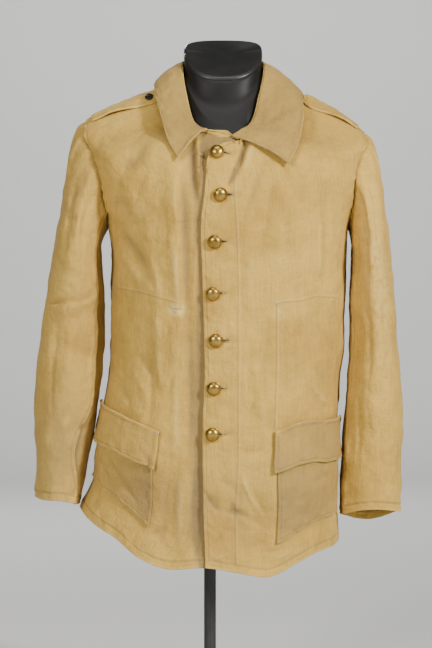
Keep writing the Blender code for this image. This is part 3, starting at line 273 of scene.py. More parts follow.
# Collar: roll line round the neck, and the outer edge that the fall hangs to
NECK_X = 0.0195
ROLL_HALF_WIDTH = 0.064
ROLL_COLUMNS = ("turn", "height")
ROLL = (
    (0.0, 0.903), (20.0, 0.904), (35.0, 0.9095), (47.0, 0.923), (61.0, 0.958), (75.0, 0.986),
    (90.0, 1.004), (120.0, 1.021), (180.0, 1.032),
)
ROLL_FRONT_Y, ROLL_BACK_Y, ROLL_BACK_POWER = -0.103, 0.088, 2.4
ROLL_RADIUS = 0.0022
STAND_START, STAND_END, TAB_ROUND = 24.0, 371.0, 9.0
UNDERLAP_END_TURN = 13.0
ROOT_DROP, ROOT_TURN, ROOT_END_TURN = 0.0118, 12.5, 30.0
FALL_COLUMNS = ("roll_turn", "edge_x", "edge_y", "edge_z")
FALL = (
    (12.5, 0.1146, -0.1335, 0.85),
    (30.0, 0.1292, -0.113, 0.883),
    (48.0, 0.137, -0.083, 0.923),
    (66.0, 0.1385, -0.042, 0.951),
    (88.0, 0.1385, 0.012, 0.968),
    (112.0, 0.12, 0.068, 0.968),
    (146.0, 0.08, 0.102, 0.962),
    (180.0, 0.0195, 0.115, 0.958),
    (214.0, -0.038, 0.104, 0.966),
    (246.0, -0.072, 0.06, 0.978),
    (270.0, -0.083, 0.002, 0.979),
    (292.0, -0.08, -0.048, 0.955),
    (308.0, -0.071, -0.085, 0.922),
    (324.0, -0.06, -0.112, 0.884),
    (338.0, -0.045, -0.133, 0.8575),
)
FALL_BULGE, FALL_GAP = 0.006, 0.0016
FALL_STRAP_LIFT, FALL_STRAP_TURN, FALL_STRAP_SPREAD = 0.0045, 81.0, 24.0

# Shoulder straps
STRAP_HALF_WIDTH = 0.023
STRAP_START_RISE = 0.862
STRAP_END_RISE = {-1: 0.972, 1: 0.945}
STRAP_FORWARD = (2.5, 11.0)
STRAP_ROUND, STRAP_TIP_CUT = 0.3, 0.85

# Pockets and flaps, in degrees of turn and metres of height
POCKET_FRONT = {-1: 30.5, 1: 27.5}
POCKET_SIDE = {-1: 84.0, 1: 76.0}
POCKET_SIZE, FLAP_SIZE = (0.155, 0.165), (0.17, 0.06)
POCKET_ABOVE_HEM, POCKET_MOUTH_DROP = 0.046, 0.008
POCKET_SAG = 0.003
FLAP_FRONT = {-1: 29.0, 1: 25.5}
FLAP_SIDE = {-1: 87.0, 1: 79.0}
FLAP_COLUMNS = ("share", "top_z", "bottom_z")
FLAP_RIGHT = ((0.0, 0.466, 0.41), (0.33, 0.485, 0.432), (1.0, 0.507, 0.451))
FLAP_LEFT = (
    (0.0, 0.466, 0.4045), (0.25, 0.479, 0.418), (0.6, 0.48, 0.42), (1.0, 0.485, 0.4235),
)

# Buttons: x and height of each, and the radius and height pairs of the turned shapes, bottom first
BUTTONS = (
    (0.0104, 0.867), (0.0147, 0.806), (0.0073, 0.738), (0.0044, 0.664), (0.0087, 0.596),
    (0.0057, 0.528), (0.0041, 0.462),
)
BRASS_PROFILE = (
    (0.0, 0.0004), (0.0034, 0.0004), (0.0034, 0.002), (0.009, 0.0021), (0.01, 0.0024),
    (0.0105, 0.0029), (0.0104, 0.0034), (0.0099, 0.0037), (0.01, 0.0041), (0.0097, 0.0051),
    (0.0091, 0.0062), (0.0082, 0.0073), (0.007, 0.0082), (0.0055, 0.009), (0.0037, 0.0096),
    (0.0019, 0.0099), (0.0, 0.01),
)
BUTTON_DROOP = 0.24
BUTTON_SLEW = (-0.03, 0.02, -0.04, 0.03, -0.02, 0.04, 0.0)
STRAP_BUTTON_PLACE = (0.8, 0.35)
STRAP_BUTTON_PROFILE = (
    (0.0, 0.0004), (0.002, 0.0004), (0.002, 0.0016), (0.0054, 0.0017), (0.0061, 0.0022),
    (0.0062, 0.003), (0.0058, 0.0038), (0.005, 0.0042), (0.0042, 0.004), (0.0036, 0.0034),
    (0.002, 0.0032), (0.0, 0.0032),
)
BUTTON_SEGMENTS = 48

# Dress form and stand
FORM_CLEARANCE, FORM_SHOULDER_CLEARANCE, FORM_NECKLINE_EXTRA = 0.0155, 0.003, 0.0016
FORM_BOTTOM_Z, FORM_BOTTOM_RISE = 0.375, 0.14
NECK_COLUMNS = ("half_width", "front_y", "back_y", "front_z", "side_z", "back_z")
NECK = (
    (0.0585, -0.079, 0.0765, 0.91, 0.994, 1.002),
    (0.058, -0.061, 0.075, 0.94, 1.006, 1.018),
    (0.059, -0.049, 0.074, 0.979, 1.024, 1.053),
)
NECK_SLOPE_POWER = {"front": (1.5, 1.5, 1.3), "back": (1.5, 1.2, 0.6)}
NECK_CORNER_POWER = (2.0, 2.1, 2.5)
CAP_LIFT, CAP_THICKNESS = 0.0002, 0.0046
CAP_PROFILE = (
    (0.0, 0.0), (0.999, 0.0), (1.0, 0.04), (0.999, 0.22), (0.994, 0.42), (0.985, 0.6),
    (0.972, 0.76), (0.955, 0.88), (0.934, 0.96), (0.91, 1.0), (0.6, 1.03), (0.0, 1.04),
)
POLE_PROFILE = ((0.0, 0.0125), (0.009, 0.0125), (0.009, 0.3604), (0.0, 0.3604))
BASE_PROFILE = (
    (0.0, 0.0), (0.1485, 0.0), (0.1496, 0.0004), (0.15, 0.0014), (0.15, 0.0088), (0.1497, 0.01),
    (0.1489, 0.0109), (0.1477, 0.0114), (0.1462, 0.0115), (0.024, 0.0119), (0.0, 0.012),
)
FORM_COLUMNS = 120

# Edges and stitching. Lines are the distances from an edge where its relief needs a row of points.
EDGE_LINES = (0.0006, 0.0016, 0.003, 0.0042, 0.005, 0.0058, 0.0068, 0.0085, 0.011)
ARMHOLE_LINES = (0.0006, 0.0016, 0.003, 0.0048, 0.0066)
HEM_LINES = (0.0006, 0.0016, 0.0034, 0.006, 0.0088, 0.01, 0.0108, 0.0116, 0.0128, 0.015)
EDGE_STITCH = 0.005
HEM_STITCH = 0.0108
ARMHOLE_STITCH, ARMHOLE_RIDGE = 0.0048, 1.5
COLLAR_STITCH = 0.0034
TURNED_EDGE = 0.0006
PINCH = 0.0006
PUCKER, PUCKER_CELL = 0.00115, 0.0072
STITCH_PITCH, STITCH_LENGTH = 0.0029, 0.0023
THREAD_RADIUS, FINE_THREAD_RADIUS = 0.00034, 0.00032

# Lines stitched through the left and right fronts, as x and height pairs
FACING_LINE = (
    (0.0345, 0.846), (0.035, 0.803), (0.0388, 0.745), (0.0404, 0.679), (0.0404, 0.425),
    (0.0358, 0.342), (0.0372, 0.276),
)
CHEST_LINES = {
    -1: (((-0.136, 0.673), (-0.1027, 0.666), (-0.0425, 0.649)), ((-0.1027, 0.511), (-0.064, 0.501))),
    1: (
        ((0.095, 0.65), (0.1308, 0.653), (0.155, 0.66), (0.19, 0.658)),
        ((0.0962, 0.649), (0.0958, 0.56), (0.0931, 0.471)),
        ((0.0978, 0.487), (0.1365, 0.5), (0.185, 0.504)),
    ),
}

STITCHED_LINES = {
    "front_left": {"upright": (FACING_LINE, CHEST_LINES[1][1]), "level": (CHEST_LINES[1][0],)},
    "front_right": {"level": (CHEST_LINES[-1][0],)},
}

# Paler and darker places of the fronts: x, height, reach across and up, and how much paler (or darker). The
# small pale spots are worn; the dark strips beside the left front's edge and under both collar leaves are
# painted shade; the broad ones change the tone over a wide patch.
WEAR_AND_PAINTED_LIGHT_PLACES = (
    (-0.05, 0.64, 0.01, 0.01, 0.9),
    (0.1, 0.636, 0.012, 0.014, 0.5),
    (0.098, 0.466, 0.005, 0.005, 0.8),
    (-0.058, 0.44, 0.016, 0.02, 0.35),
    (-0.03, 0.432, 0.03, 0.04, 0.25),
    (0.02, 0.56, 0.05, 0.09, 0.12),
    (-0.06, 0.38, 0.07, 0.09, -0.24),
    (-0.04, 0.64, 0.01, 0.012, 0.5),
    (-0.095, 0.77, 0.03, 0.04, 0.2),
    # Painted shade under the right collar leaf, beside the front edge
    (-0.0235, 0.862, 0.0055, 0.036, -0.6),
    (-0.011, 0.862, 0.004, 0.03, -0.5),
    # Painted shade in the strip beside the left front's edge
    (-0.016, 0.395, 0.0065, 0.13, -0.42),
    (-0.015, 0.64, 0.005, 0.1, -0.22),
    # Painted shade under the left collar leaf
    (0.045, 0.858, 0.005, 0.012, -0.3),
    (0.05, 0.35, 0.09, 0.08, -0.26),
    (0.13, 0.56, 0.04, 0.06, -0.1),
    (0.128, 0.37, 0.04, 0.05, -0.12),
    (-0.086, 0.38, 0.05, 0.05, -0.22),
    (0.05, 0.4, 0.06, 0.05, -0.1),
)

# How much darker (or paler) these pieces are than the rest. On the right top sleeve it is painted shade, for
# the side the lamps light less.
PIECE_TONE = {
    "pocket_right": -0.26, "pocket_left": -0.36, "pocket_flap_left": -0.42, "pocket_flap_right": -0.16,
    "collar_fall": -0.46, "sleeve_right_top": -0.22,
}

# Wearer's side of each sign: -1 right, 1 left
WEARER = {-1: "right", 1: "left"}


def columns(names, rows):
    """A table as a dictionary of its columns."""
    return dict(zip(names, np.array(rows, dtype=float).T))


def smooth(knots, values, at):
    """Cubic through the knots: its slope at a knot is the mean of the slopes on both sides."""
    slope = np.gradient(values, knots)
    at = np.clip(at, knots[0], knots[-1])
    left = np.clip(np.searchsorted(knots, at, side="right") - 1, 0, len(knots) - 2)
    span = knots[left + 1] - knots[left]
    s = (at - knots[left]) / span
    start = (2 * s**3 - 3 * s**2 + 1) * values[left] + (s**3 - 2 * s**2 + s) * span * slope[left]
    end = (3 * s**2 - 2 * s**3) * values[left + 1] + (s**3 - s**2) * span * slope[left + 1]
    return start + end


def ease(low, high, value):
    """0 below low, 1 above high, and an S-curve between them."""
    s = kept_in((value - low) / (high - low))
    return s * s * (3 - 2 * s)


def sin_of(degrees):
    return np.sin(np.radians(degrees))


def cos_of(degrees):
    return np.cos(np.radians(degrees))


def unit(vectors):
    return vectors / np.linalg.norm(vectors, axis=-1, keepdims=True)


def kept_in(value):
    return np.clip(value, 0.0, 1.0)


def mixed(first, second, share):
    return first * (1 - share) + second * share


def wrapped(turn):
    """The same direction between -180 and 180 degrees."""
    return (np.asarray(turn, dtype=float) + 180.0) % 360.0 - 180.0


girth = columns(GIRTH_COLUMNS, GIRTH)
height = columns(HEIGHT_COLUMNS, HEIGHT)
hem = columns(HEM_COLUMNS, HEM)
placket = columns(PLACKET_COLUMNS, PLACKET)
roll = columns(ROLL_COLUMNS, ROLL)
fall = columns(FALL_COLUMNS, FALL)
neck = columns(NECK_COLUMNS, NECK)
flap = {-1: columns(FLAP_COLUMNS, FLAP_RIGHT), 1: columns(FLAP_COLUMNS, FLAP_LEFT)}
sleeve = {-1: columns(SLEEVE_COLUMNS, SLEEVE_RIGHT), 1: columns(SLEEVE_COLUMNS, SLEEVE_LEFT)}


def dents(across, up, cell, seed):
    """Soft bumps between -1 and 1: seeded heights on a lattice of this cell, eased from one to the next."""
    heights = np.random.default_rng(seed).uniform(-1.0, 1.0, (97, 89))
    a, b = np.asarray(across) / cell, np.asarray(up) / cell
    column, row = np.floor(a).astype(int), np.floor(b).astype(int)
    s, t = ease(0.0, 1.0, a - column), ease(0.0, 1.0, b - row)
    low, high = (mixed(heights[r % 97, column % 89], heights[r % 97, (column + 1) % 89], s)
                 for r in (row, row + 1))
    return mixed(low, high, t)


def crumple(across, up):
    """Sum of the dents of every size in DENTS."""
    return sum(depth * dents(across, up, cell, 11 + i) for i, (cell, depth) in enumerate(DENTS))


def fold_depth(across, up, folds):
    """Sum of folds: each a bell across its line, fading out past both of its ends."""
    total = np.zeros(np.shape(across))
    for row in folds:
        f = dict(zip(FOLD_COLUMNS, row))
        run_a, run_u = f["end_across"] - f["start_across"], f["end_up"] - f["start_up"]
        length = math.hypot(run_a, run_u)
        from_a, from_u = (across - f["start_across"]) / length, (up - f["start_up"]) / length
        along = (from_a * run_a + from_u * run_u) / length
        aside = from_a * run_u - from_u * run_a
        fade = ease(*FOLD_FADE_IN, along) * (1 - ease(*FOLD_FADE_OUT, along))
        total = total + f["depth"] * fade * np.exp(-(aside / f["width"])**2)
    return total


def crease_depth(across, up, rows):
    """Sum of creases: a bell with a sharp top and one steep flank, its line bowed, thin at both ends."""
    total = np.zeros(np.shape(across))
    for row in rows:
        c = dict(zip(CREASE_COLUMNS, row))
        a0, u0, a1, u1 = c["from_across"], c["from_up"], c["to_across"], c["to_up"]
        if u1 < u0:
            a0, u0, a1, u1 = a1, u1, a0, u0
        length = math.hypot(a1 - a0, u1 - u0)
        along_a, along_u = (a1 - a0) / length, (u1 - u0) / length
        along = ((across - a0) * along_a + (up - u0) * along_u) / length
        aside = (across - a0) * along_u - (up - u0) * along_a - c["bow"] * 4 * along * (1 - along)
        width = np.where(aside > 0, c["lower"], c["upper"]) * (0.75 + 0.5 * np.clip(along, 0, 1))
        fade = ease(-0.08, 0.35, along) * (1 - ease(0.62, 1.08, along))
        total = total + CREASE_STRENGTH * c["depth"] * fade * np.exp(-np.abs(aside / width)**CREASE_SHARPNESS)
    return total


def girth_at(name, rise):
    return smooth(girth["rise"], girth[name], rise)


def hem_height(turn):
    return smooth(hem["turn"], hem["height"], wrapped(turn))


def placket_x(rise):
    """Where the left front's edge lies at this rise."""
    return smooth(placket["rise"], placket["edge_x"], rise)


def body_height(turn, rise):
    """Height: straight from the hem to the waist, and above it a cubic through eight directions."""
    turn = wrapped(turn)
    low = hem_height(turn)
    below = low + (WAIST_Z - low) * rise / WAIST_RISE
    front, corner, left, right, back = (smooth(height["rise"], height[name], rise)
                                        for name in HEIGHT_COLUMNS[1:])
    fronts = cos_of(turn)
    sides = np.abs(sin_of(turn))
    side = np.where(turn < 0, left, right)
    toward_corner = ease(0.0, math.sqrt(0.5), sides)
    from_ridge = np.clip((1 - sides) / (1 - math.sqrt(0.5)), 0.0, 1.0)
    toward_side = 1 - np.sin(np.pi / 2 * from_ridge)**SHOULDER_RIDGE_POWER
    front_half = front + (corner - front) * toward_corner + (side - corner) * toward_side
    back_half = back + (side - back) * sides**2
    return np.where(rise < WAIST_RISE, below, np.where(fronts >= 0, front_half, back_half))


def ring_offset(turn, power):
    """Unit ring whose corners fill out as power grows past 2: x to the right, y to the back."""
    across = sin_of(turn)
    along = -cos_of(turn)
    scale = (np.abs(across)**power + np.abs(along)**power)**(-1.0 / power)
    return across * scale, along * scale


def plain_body(turn, rise):
    """The body surface without its folds."""
    turn, rise = np.broadcast_arrays(np.asarray(turn, float), kept_in(rise))
    across, along = ring_offset(turn, girth_at("power", rise))
    left_x, right_x, middle_y = (girth_at(name, rise) for name in ("left_x", "right_x", "middle_y"))
    reach_y = np.where(along < 0, middle_y - girth_at("front_y", rise), girth_at("back_y", rise) - middle_y)
    x = (left_x + right_x) / 2 + (right_x - left_x) / 2 * across
    return np.stack([x, middle_y + reach_y * along, body_height(turn, rise)], axis=-1)


def surface_normal(surface, across, up, step_across, step_up):
    """Outward unit normal, from small steps along both parameters."""
    side = surface(across + step_across, up) - surface(across - step_across, up)
    rise = surface(across, up + step_up) - surface(across, up - step_up)
    return unit(np.cross(side, rise))


def body_creases(point, turn):
    """How far the creases press the body's cloth in."""
    x, z = point[..., 0], point[..., 2]
    facing = cos_of(turn)
    return (ease(0.05, 0.35, facing) * crease_depth(x, z, FRONT_CREASES + BUTTON_CREASES)
            + ease(0.05, 0.35, -facing) * crease_depth(x, z, BACK_CREASES))


def body_depth(point, turn):
    """How far the cloth is pressed in here: folds, creases and crumple, held off the form behind it."""
    x, z = point[..., 0], point[..., 2]
    facing = cos_of(turn)
    front, back = ease(0.05, 0.35, facing), ease(0.05, 0.35, -facing)
    folds = front * fold_depth(x, z, FRONT_FOLDS) + back * fold_depth(x, z, BACK_FOLDS)
    limit = DEPTH_LIMIT - LAP_DEPTH * front * np.exp(-((x - LAP_X) / LAP_REACH)**2)
    calm = 1 - 0.45 * front * ease(0.60, 0.70, z) * (1 - ease(0.075, 0.15, np.abs(x - 0.06)))
    depth = folds + body_creases(point, turn) + crumple(wrapped(turn) * BODY_PER_DEGREE, z) * calm
    return np.where(depth > 0, limit * np.tanh(depth / limit), depth)


def cloth(turn, rise):
    """The worn cloth of the body: the plain surface pressed in along its normal."""
    turn, rise = np.broadcast_arrays(np.asarray(turn, float), kept_in(rise))
    point = plain_body(turn, rise)
    normal = surface_normal(plain_body, turn, rise, *PLAIN_STEPS)
    return point - normal * body_depth(point, turn)[..., None]


def cloth_normal(turn, rise):
    return surface_normal(cloth, turn, rise, *CLOTH_STEPS)


# Two short pulls from the end of each buttonhole
BUTTON_CREASES = tuple(
    (x + 0.010, z + side * 0.001, x + 0.030, z + side * reach, 0.001, 0.0025, 0.0035, 0.0009)
    for i, (x, z) in enumerate(BUTTONS) for side, reach in ((1, 0.004 + 0.001 * (i % 3)), (-1, 0.006))
)


def turn_at_x(x, rise):
    """Front turn at which the ring at this rise reaches x."""
    left_x, right_x, power = (girth_at(name, rise) for name in ("left_x", "right_x", "power"))
    share = (x - (left_x + right_x) / 2) / ((right_x - left_x) / 2)
    tangent = np.abs(share) / (1 - np.abs(share)**power)**(1 / power)
    return np.degrees(np.arctan(tangent)) * np.sign(share)


def place_on_front(x, z):
    """Turn and rise of the front points seen at x and z."""
    x, z = np.atleast_1d(x)[:, None], np.atleast_1d(z)[:, None]
    rises = np.linspace(0.0, 1.0, 801)[None, :]
    within = np.clip(x, girth_at("left_x", rises) * 0.999, girth_at("right_x", rises) * 0.999)
    turns = turn_at_x(within, rises)
    nearest = np.argmin(np.abs(plain_body(turns, rises)[..., 2] - z), axis=1)
    return turns[np.arange(len(nearest)), nearest], rises[0, nearest]


def spaced(length, step, low=(), high=()):
    """Shares from 0 to 1 about a step apart, with extra lines at these distances from the ends."""
    first, last = np.array((0.0,) + tuple(low)) / length, 1 - np.array((0.0,) + tuple(high)) / length
    even = np.linspace(0.0, 1.0, max(3, int(round(length / step)) + 1))
    clear = 0.6 * step / length
    even = even[(even > first.max() + clear) & (even < last.min() - clear)]
    return np.sort(np.concatenate([first, even, last]))


def grid_normals(points):
    """Unit normals of a grid whose columns run across and rows run up, from central differences."""
    normal = np.cross(np.gradient(points, axis=1), np.gradient(points, axis=0))
    return normal / np.maximum(np.linalg.norm(normal, axis=-1, keepdims=True), 1e-12)


def run_lengths(points, axis):
    """Distance along the cloth from the grid's first line on this axis."""
    steps = np.linalg.norm(np.diff(points, axis=axis), axis=-1)
    start = np.zeros_like(np.take(steps, [0], axis=axis))
    return np.concatenate([start, np.cumsum(steps, axis=axis)], axis=axis)


def turned_edge(distance, along, stitch, seed):
    """Relief of a turned edge: rounded off, double up to the stitches, pinched and puckered at them."""
    rounding = -0.0007 * (1 - kept_in(distance / 0.0012))**2
    double = TURNED_EDGE * (1 - ease(stitch + 0.0004, stitch + 0.0030, distance))
    pinch = -PINCH * np.exp(-((distance - stitch) / 0.0009)**2)
    near = np.exp(-((distance - stitch) / 0.0060)**2)
    pucker = PUCKER * near * dents(along + distance * 0.7, distance, PUCKER_CELL, seed)
    return rounding + double + pinch + pucker


EDGE_AXES = {"first": (1, False), "last": (1, True), "low": (0, False), "high": (0, True)}


def edge_distance(lengths, edge):
    """Distance to one edge of the grid: first or last column, low or high row."""
    axis, from_end = EDGE_AXES[edge]
    run = lengths[axis]
    return np.take(run, [-1], axis=axis) - run if from_end else run


# Finishes
class Finish:
    """A Principled finish while it is made: each method adds one shader node and gives its output."""

    def __init__(self, name, roughness, **constants):
        self.made = bpy.data.materials.new(name)
        self.made.use_nodes = True
        self.tree = self.made.node_tree
        self.shader = self.tree.nodes["Principled BSDF"]
        self.shader.inputs["Roughness"].default_value = roughness
        for socket, value in constants.items():
            self.shader.inputs[socket.replace("_", " ")].default_value = value

    def put(self, socket, value):
        if isinstance(value, bpy.types.NodeSocket):
            self.tree.links.new(value, socket)
        else:
            socket.default_value = value

    def into(self, socket, value):
        self.put(self.shader.inputs[socket], value)

    def add(self, kind, settings=None, output=0, **sockets):
        """A shader node with its settings, and each named or numbered socket set or linked."""
        node = self.tree.nodes.new(kind)
        for name, value in (settings or {}).items():
            setattr(node, name, value)
        for name, value in sockets.items():
            name = name.replace("_", " ")
            self.put(node.inputs[int(name[1:])] if name[1:].isdigit() else node.inputs[name], value)
        return node.outputs[output]

    def calc(self, operation, first, second=0.0):
        return self.add("ShaderNodeMath", {"operation": operation}, i0=first, i1=second)

    def times(self, first, second):
        return self.calc("MULTIPLY", first, second)

    def away_from(self, value, centre):
        return self.calc("ABSOLUTE", self.calc("SUBTRACT", value, centre))

    def sum_of(self, first, *others):
        for other in others:
            first = self.calc("ADD", first, other)
        return first

    def mix(self, share, first, second, kind="MIX"):
        settings = {"data_type": "RGBA", "blend_type": kind}
        return self.add("ShaderNodeMix", settings, 2, i0=share, i6=first, i7=second)

    def ramp(self, value, low, high, to_low=0.0, to_high=1.0):
        """The value's stretch from low to high, as a smooth step between two numbers."""
        return self.add("ShaderNodeMapRange", {"interpolation_type": "SMOOTHSTEP"}, Value=value, From_Min=low,
                        From_Max=high, To_Min=to_low, To_Max=to_high)

    def noise(self, vector, scale, detail=3.0, roughness=0.55):
        return self.add("ShaderNodeTexNoise", None, "Fac", Vector=vector, Scale=scale, Detail=detail,
                        Roughness=roughness)

    def waver(self, vector, scale, amount, detail=3.0, roughness=0.6):
        """Noise as a number between minus and plus this amount."""
        return self.ramp(self.noise(vector, scale, detail, roughness), 0.25, 0.75, -amount, amount)

    def mapped(self, vector, **how):
        return self.add("ShaderNodeMapping", None, Vector=vector, **how)

    def attribute(self, name):
        return self.add("ShaderNodeAttribute", {"attribute_name": name}, "Fac")

    def place(self):
        return self.add("ShaderNodeTexCoord", None, "Object")

    def bump(self, height, strength, distance, **below):
        return self.add("ShaderNodeBump", None, Height=height, Strength=strength, Distance=distance, **below)


def drill_finish():
    """Khaki cotton drill: twill ribs, uneven threads, mottled fading, pale edges and worn ridges, with
    painted shade in creases, along stitching and on shaded places, and painted highlights beside stitched
    lines and on lit places.
    """
    f = Finish("khaki_drill", 0.90, Sheen_Weight=0.04, Sheen_Roughness=0.5, Specular_IOR_Level=0.20)
    grain, place = f.add("ShaderNodeUVMap", {"uv_map": "grain"}), f.place()
    edge, wear_and_painted_light, crease_shade_and_ridge_wear = (f.attribute(name) for name in ("edge", "wear_and_painted_light", "crease_shade_and_ridge_wear"))
    middle = f.noise(place, 34.0, 4.0, 0.6)
    colour = f.mix(f.ramp(f.noise(place, 8.0), 0.34, 0.66), DRILL_DARK, DRILL_LIGHT)
    upright = f.waver(f.mapped(grain, Scale=(330.0, 16.0, 1.0)), 1.0, 0.075)
    level = f.waver(f.mapped(grain, Scale=(18.0, 360.0, 1.0)), 1.0, 0.045)
    fine = f.waver(f.mapped(grain, Scale=(900.0, 90.0, 1.0)), 1.0, 0.07)
    speck = f.waver(f.mapped(grain, Scale=(620.0, 620.0, 1.0)), 1.0, 0.085, 2.0)
    mottle = f.waver(place, 55.0, 0.060, 4.0)
    shade = f.calc("ADD", f.sum_of(upright, level, fine, speck, mottle), 1.0)
    grey = f.add("ShaderNodeCombineColor", None, Red=shade, Green=shade, Blue=shade)
    colour = f.mix(1.0, colour, grey, "MULTIPLY")
    frayed = f.times(f.ramp(edge, 0.0003, 0.0021, 1.0, 0.0), f.ramp(middle, 0.35, 0.65, 0.0, 0.62))
    colour = f.mix(frayed, colour, DRILL_PALE)
    # Painted shade: a dark line along the pinched stitching of each turned edge.
    colour = f.mix(f.ramp(f.away_from(edge, 0.0056), 0.0, 0.0016, 0.40, 0.0), colour, DRILL_SHADE)
    # Painted shade on each stitched line through the fronts, and a painted highlight just beside it.
    for way in ("upright", "level"):
        signed, near = f.attribute(way), f.attribute(way + "_near")
        line = f.times(near, f.ramp(f.calc("ABSOLUTE", signed), 0.0003, 0.0017, 0.36, 0.0))
        pale = f.times(near, f.ramp(f.away_from(signed, -0.0028), 0.0002, 0.0022, 0.20, 0.0))
        colour = f.mix(pale, f.mix(line, colour, DRILL_SHADE), DRILL_PALE)
    patchy = f.ramp(f.noise(place, 150.0, 4.0, 0.7), 0.30, 0.62)
    # Paler where the mark is above 0: worn spots, and painted light high on the left sleeve's front.
    colour = f.mix(f.times(f.ramp(wear_and_painted_light, 0.0, 1.0, 0.0, 1.1), patchy), colour, DRILL_PALE)
    # Darker where the mark is below 0: painted shade beside the left front's edge, under the collar leaves,
    # on the under sleeves and down the right sleeve, and darker tones of some pieces and places.
    colour = f.mix(f.ramp(wear_and_painted_light, -1.0, 0.0, 0.85, 0.0), colour, DRILL_SHADE)
    # Painted shade in the creases and where the right front lies under the left one.
    colour = f.mix(f.ramp(crease_shade_and_ridge_wear, 0.0004, 0.0072, 0.0, 0.70), colour, DRILL_SHADE)
    # Paler on raised ridges, where the cloth is worn.
    f.into("Base Color", f.mix(f.ramp(crease_shade_and_ridge_wear, -0.0034, -0.0005, 0.42, 0.0), colour, DRILL_PALE))
    ribs = f.add("ShaderNodeTexWave", {"wave_type": "BANDS", "bands_direction": "X"}, "Fac",
                 Vector=f.mapped(grain, Rotation=(0, 0, math.radians(63))), Scale=320.0, Distortion=1.2,
                 Detail=2.0)
    weave = f.sum_of(f.times(ribs, 0.30), f.times(f.sum_of(upright, level, fine), 2.0))
    small = f.bump(f.noise(place, 95.0, 4.0, 0.62), 0.75, 0.0030, Normal=f.bump(weave, 0.6, 0.0006))
    rumpled = f.noise(f.mapped(place, Scale=(30.0, 30.0, 22.0)), 1.0, 2.0, 0.5)
    f.into("Normal", f.bump(rumpled, 0.6, 0.0090, Normal=small))
    return f.made


def toned(colour, amount):
    return tuple(c * amount for c in colour[:3]) + (1,)


def thread_finish(name, colour, variation):
    """Twisted cotton thread, a little lighter and darker along its run."""
    f = Finish(name, 0.9, Sheen_Weight=0.02, Specular_IOR_Level=0.2)
    place = f.place()
    f.into("Base Color", f.mix(f.ramp(f.noise(place, 130.0), 0.3, 0.7), toned(colour, variation), colour))
    f.into("Normal", f.bump(f.noise(place, 2600.0, 2.0), 0.3, 0.0002))
    return f.made


def metal_finish(name, bright, dull, rough_low, rough_high, scale, metallic=1.0):
    """Aged metal: bright where it is rubbed, dull and rougher in cloudy patches."""
    f = Finish(name, rough_low, Metallic=metallic)
    place = f.place()
    f.into("Base Color", f.mix(f.ramp(f.noise(place, scale, 4.0, 0.6), 0.36, 0.66), bright, dull))
    f.into("Roughness", f.ramp(f.noise(place, scale * 1.7, 4.0, 0.6), 0.3, 0.7, rough_low, rough_high))
    f.into("Normal", f.bump(f.noise(place, scale * 3), 0.04, 0.0003))
    return f.made


def coated_finish(name, colour, rough_low, rough_high, scale, bump_strength, gloss):
    """Smooth coat on plastic or steel with faint handling marks."""
    f = Finish(name, rough_low, Specular_IOR_Level=gloss)
    place = f.place()
    smear = f.noise(place, scale, 3.0, 0.6)
    f.into("Base Color", f.mix(f.ramp(smear, 0.3, 0.7), colour, toned(colour, 1.5)))
    f.into("Roughness", f.ramp(smear, 0.3, 0.7, rough_low, rough_high))
    f.into("Normal", f.bump(f.noise(place, scale * 6), bump_strength, 0.0004))
    return f.made


def plain_finish(name, colour, roughness):
    return Finish(name, roughness, Base_Color=colour).made


DRILL_DARK, DRILL_LIGHT = (0.420, 0.256, 0.048, 1), (0.525, 0.332, 0.068, 1)
DRILL_PALE, DRILL_SHADE = (0.660, 0.470, 0.155, 1), (0.172, 0.118, 0.056, 1)
DRILL = drill_finish()
THREAD = thread_finish("khaki_thread", (0.54, 0.37, 0.12, 1), 0.74)
PALE_THREAD = thread_finish("pale_thread", (0.72, 0.56, 0.25, 1), 0.80)
HOLE_THREAD = thread_finish("buttonhole_thread", (0.50, 0.34, 0.11, 1), 0.62)
# The slits of the buttonholes are dark sheets: painted shadow.
SLIT_SHADOW = plain_finish("slit_shadow", (0.022, 0.013, 0.005, 1), 0.9)
BRASS = metal_finish("aged_brass", (0.44, 0.285, 0.072, 1), (0.27, 0.170, 0.040, 1), 0.28, 0.40, 110.0)
DARK_METAL = metal_finish("dark_button", (0.030, 0.022, 0.018, 1), (0.012, 0.010, 0.009, 1), 0.22, 0.40,
                          400.0, 0.4)
FORM = coated_finish("black_form", (0.0095, 0.0090, 0.0082, 1), 0.40, 0.50, 14.0, 0.03, 0.17)
CAP = coated_finish("black_cap", (0.0095, 0.0090, 0.0082, 1), 0.34, 0.44, 14.0, 0.03, 0.5)
STEEL = coated_finish("black_steel", (0.014, 0.014, 0.014, 1), 0.36, 0.50, 40.0, 0.10, 0.5)


# Building of meshes
def stand_in_scene(name, mesh, finish, sharp_angle):
    """An object of this mesh on the one body, smooth but for edges sharper than this angle."""
    mesh.materials.append(finish)
    mesh.shade_smooth()
    mesh.set_sharp_from_angle(angle=math.radians(sharp_angle))
    made = bpy.data.objects.new(name, mesh)
    bpy.context.collection.objects.link(made)
    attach(made, "root")
    return made


